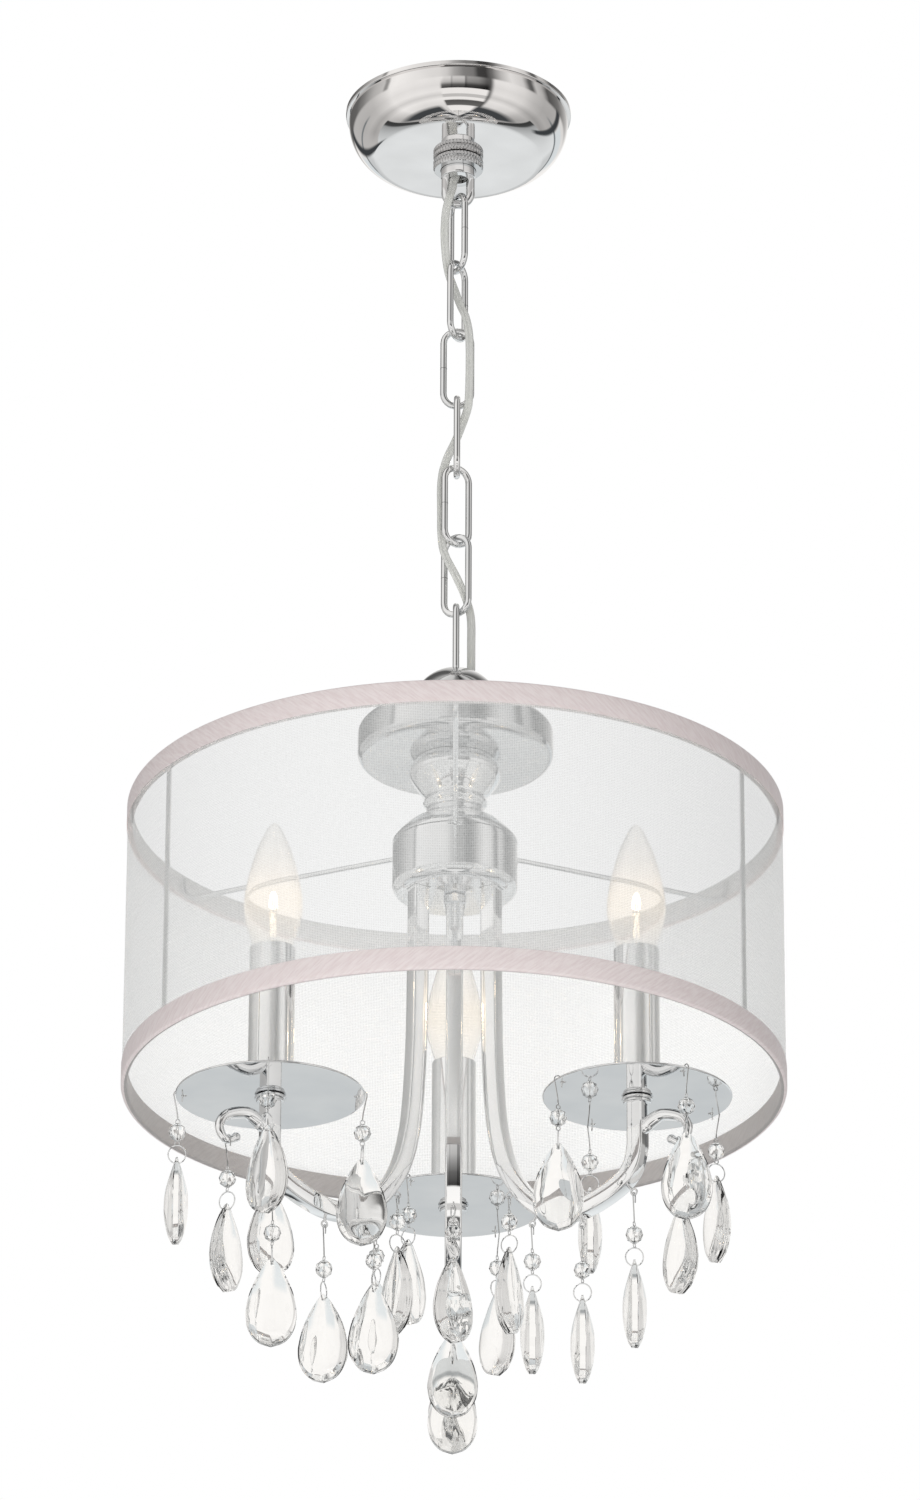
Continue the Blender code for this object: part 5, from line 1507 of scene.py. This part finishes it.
def world():
    """White behind the object; metal and glass show softboxes, flags, dark posts and the floor round it."""
    made = bpy.data.worlds.new("studio")
    bpy.context.scene.world = made
    made.use_nodes = True
    made.node_tree.nodes.clear()
    sky = Nodes(made.node_tree)

    def times(*values):
        product = values[0]
        for value in values[1:]:
            product = sky.maths("MULTIPLY", product, value)
        return product

    def tinted(colour, tint):
        return sky.mix(1.0, colour, tint, "MULTIPLY")

    where = sky.add("ShaderNodeTexCoord").outputs["Generated"]
    right, away, up = sky.add("ShaderNodeSeparateXYZ", {"Vector": where}).outputs
    turn = sky.maths("ARCTAN2", right, times(away, -1.0))
    turn = sky.span(turn, 0.0, 1.0, -math.pi, math.pi)
    rise = sky.span(sky.maths("ARCSINE", up), 0.0, 1.0, -math.pi / 2, math.pi / 2)

    def by_turn(stops):
        return sky.ramp(turn, [((degrees + 180) / 360, tone) for degrees, tone in stops])

    def by_rise(stops):
        return sky.ramp(rise, [((degrees + 90) / 180, tone) for degrees, tone in stops])

    paths = sky.add("ShaderNodeLightPath").outputs
    through = paths["Is Transmission Ray"]
    not_through = sky.maths("SUBTRACT", 1.0, through)
    walls = sky.mix(through, by_turn(WALLS), by_turn(GLASS_WALLS))
    behind = by_turn([(-140, 1.0), (-122, 0.0), (122, 0.0), (140, 1.0)])
    walls = sky.mix(behind, tinted(walls, by_rise(SOFTBOX_RISE)), walls)
    bars = by_rise(FLAG_RISE)
    middle = sky.mix(by_rise([(-13, 1.0), (-12, 0.0)]), tinted(walls, bars), bars)
    walls = sky.mix(by_turn(window(-19, -17, 30, 33)), walls, middle)
    high = times(by_rise([(13, 0.0), (17, 1.0)]), not_through)
    walls = tinted(sky.mix(high, walls, by_turn(UPPER_WALLS)), (1.0, 0.985, 0.965))
    rear = times(by_turn(window(-174, -168, -158, -155, 128, 131, 160, 166)), by_rise(window(-14, -9, 6, 10)))
    walls = sky.mix(rear, walls, (0.76, 0.81, 0.83))
    beyond = sky.maths("ADD", away, times(up, 0.30))
    ground = tinted(sky.ramp(beyond, GROUND), (0.955, 0.99, 1.0))
    sunk = sky.span(sky.maths("ADD", up, by_turn(WALL_DEPTH)), 0.0, 1.0, 0.01, -0.01)
    studio = sky.mix(times(sunk, sky.span(beyond, 0.0, 1.0, -0.06, -0.03)), walls, ground)
    horizon = sky.ramp(sky.span(up, 0.0, 1.0, -0.15, -0.07), window(0.0, 0.3, 0.6, 1.0))
    horizon = times(horizon, sky.span(away, 0.0, 1.0, 0.25, 0.45))
    studio = sky.mix(horizon, studio, (0.20, 0.22, 0.23))
    posts = by_turn(window(-155, -152, -147, -144, 118, 120, 126, 129))
    posts = times(posts, by_rise(window(-42, -36, 15, 19)), not_through)
    studio = sky.mix(posts, studio, (0.05, 0.055, 0.06))
    flanks = by_turn(window(-114, -106, -32, -24, 24, 32, 106, 114))
    flanks = times(flanks, by_rise([(-60, 1.0), (-52, 0.0)]), not_through)
    studio = sky.mix(flanks, studio, (0.06, 0.065, 0.07))
    clear = sky.mix(0.18, tinted(studio, (1.0, 0.99, 0.98)), WHITE)
    studio = sky.mix(through, studio, clear)

    sideways = sky.span(sky.maths("ABSOLUTE", right), 0.0, 1.0, 0.2, 1.0)
    plain = sky.mix(sideways, (0.60, 0.60, 0.595), (0.27, 0.275, 0.28))
    colour = sky.mix(sky.maths("MAXIMUM", paths["Is Glossy Ray"], through), plain, studio)
    colour = sky.mix(paths["Is Camera Ray"], colour, WHITE)
    surroundings = sky.add("ShaderNodeBackground", {"Color": colour})
    sky.add("ShaderNodeOutputWorld", {"Surface": surroundings.outputs["Background"]})


def camera():
    data = bpy.data.cameras.new("camera")
    data.sensor_width, data.lens = CAMERA_SENSOR, CAMERA_LENS
    data.clip_start, data.clip_end = 0.05, 100.0
    item = linked("camera", data)
    item.location = CAMERA_PLACE
    pan, tilt, roll = (
        Matrix.Rotation(math.radians(angle), 3, axis)
        for angle, axis in ((CAMERA_PAN, "Z"), (90 + CAMERA_TILT, "X"), (CAMERA_ROLL, "Z"))
    )
    item.rotation_euler = (pan @ tilt @ roll).to_euler()
    bpy.context.scene.camera = item


floor()
world()
camera()
area_light("key", (-2.1, -2.6, -1.9), (1.6, 1.6), 26)
area_light("fill", (1.9, -2.7, -2.1), (1.6, 1.6), 11)
area_light("bounce", (0.0, -1.5, -2.2), (1.4, 1.4), 9)
# The light of the three bulbs, gathered on the axis so that it falls evenly on the cloth round it
lamp(
    "bulb_light", "POINT", (0, 0, (shade_top + shade_bottom) / 2), 0.42,
    color=(1.0, 0.985, 0.96), shadow_soft_size=0.03, use_shadow=False,
)
area_light("rim", (0.4, 2.8, 1.2), (1.8, 1.2), 14)
bpy.context.scene.view_settings.view_transform = "Standard"
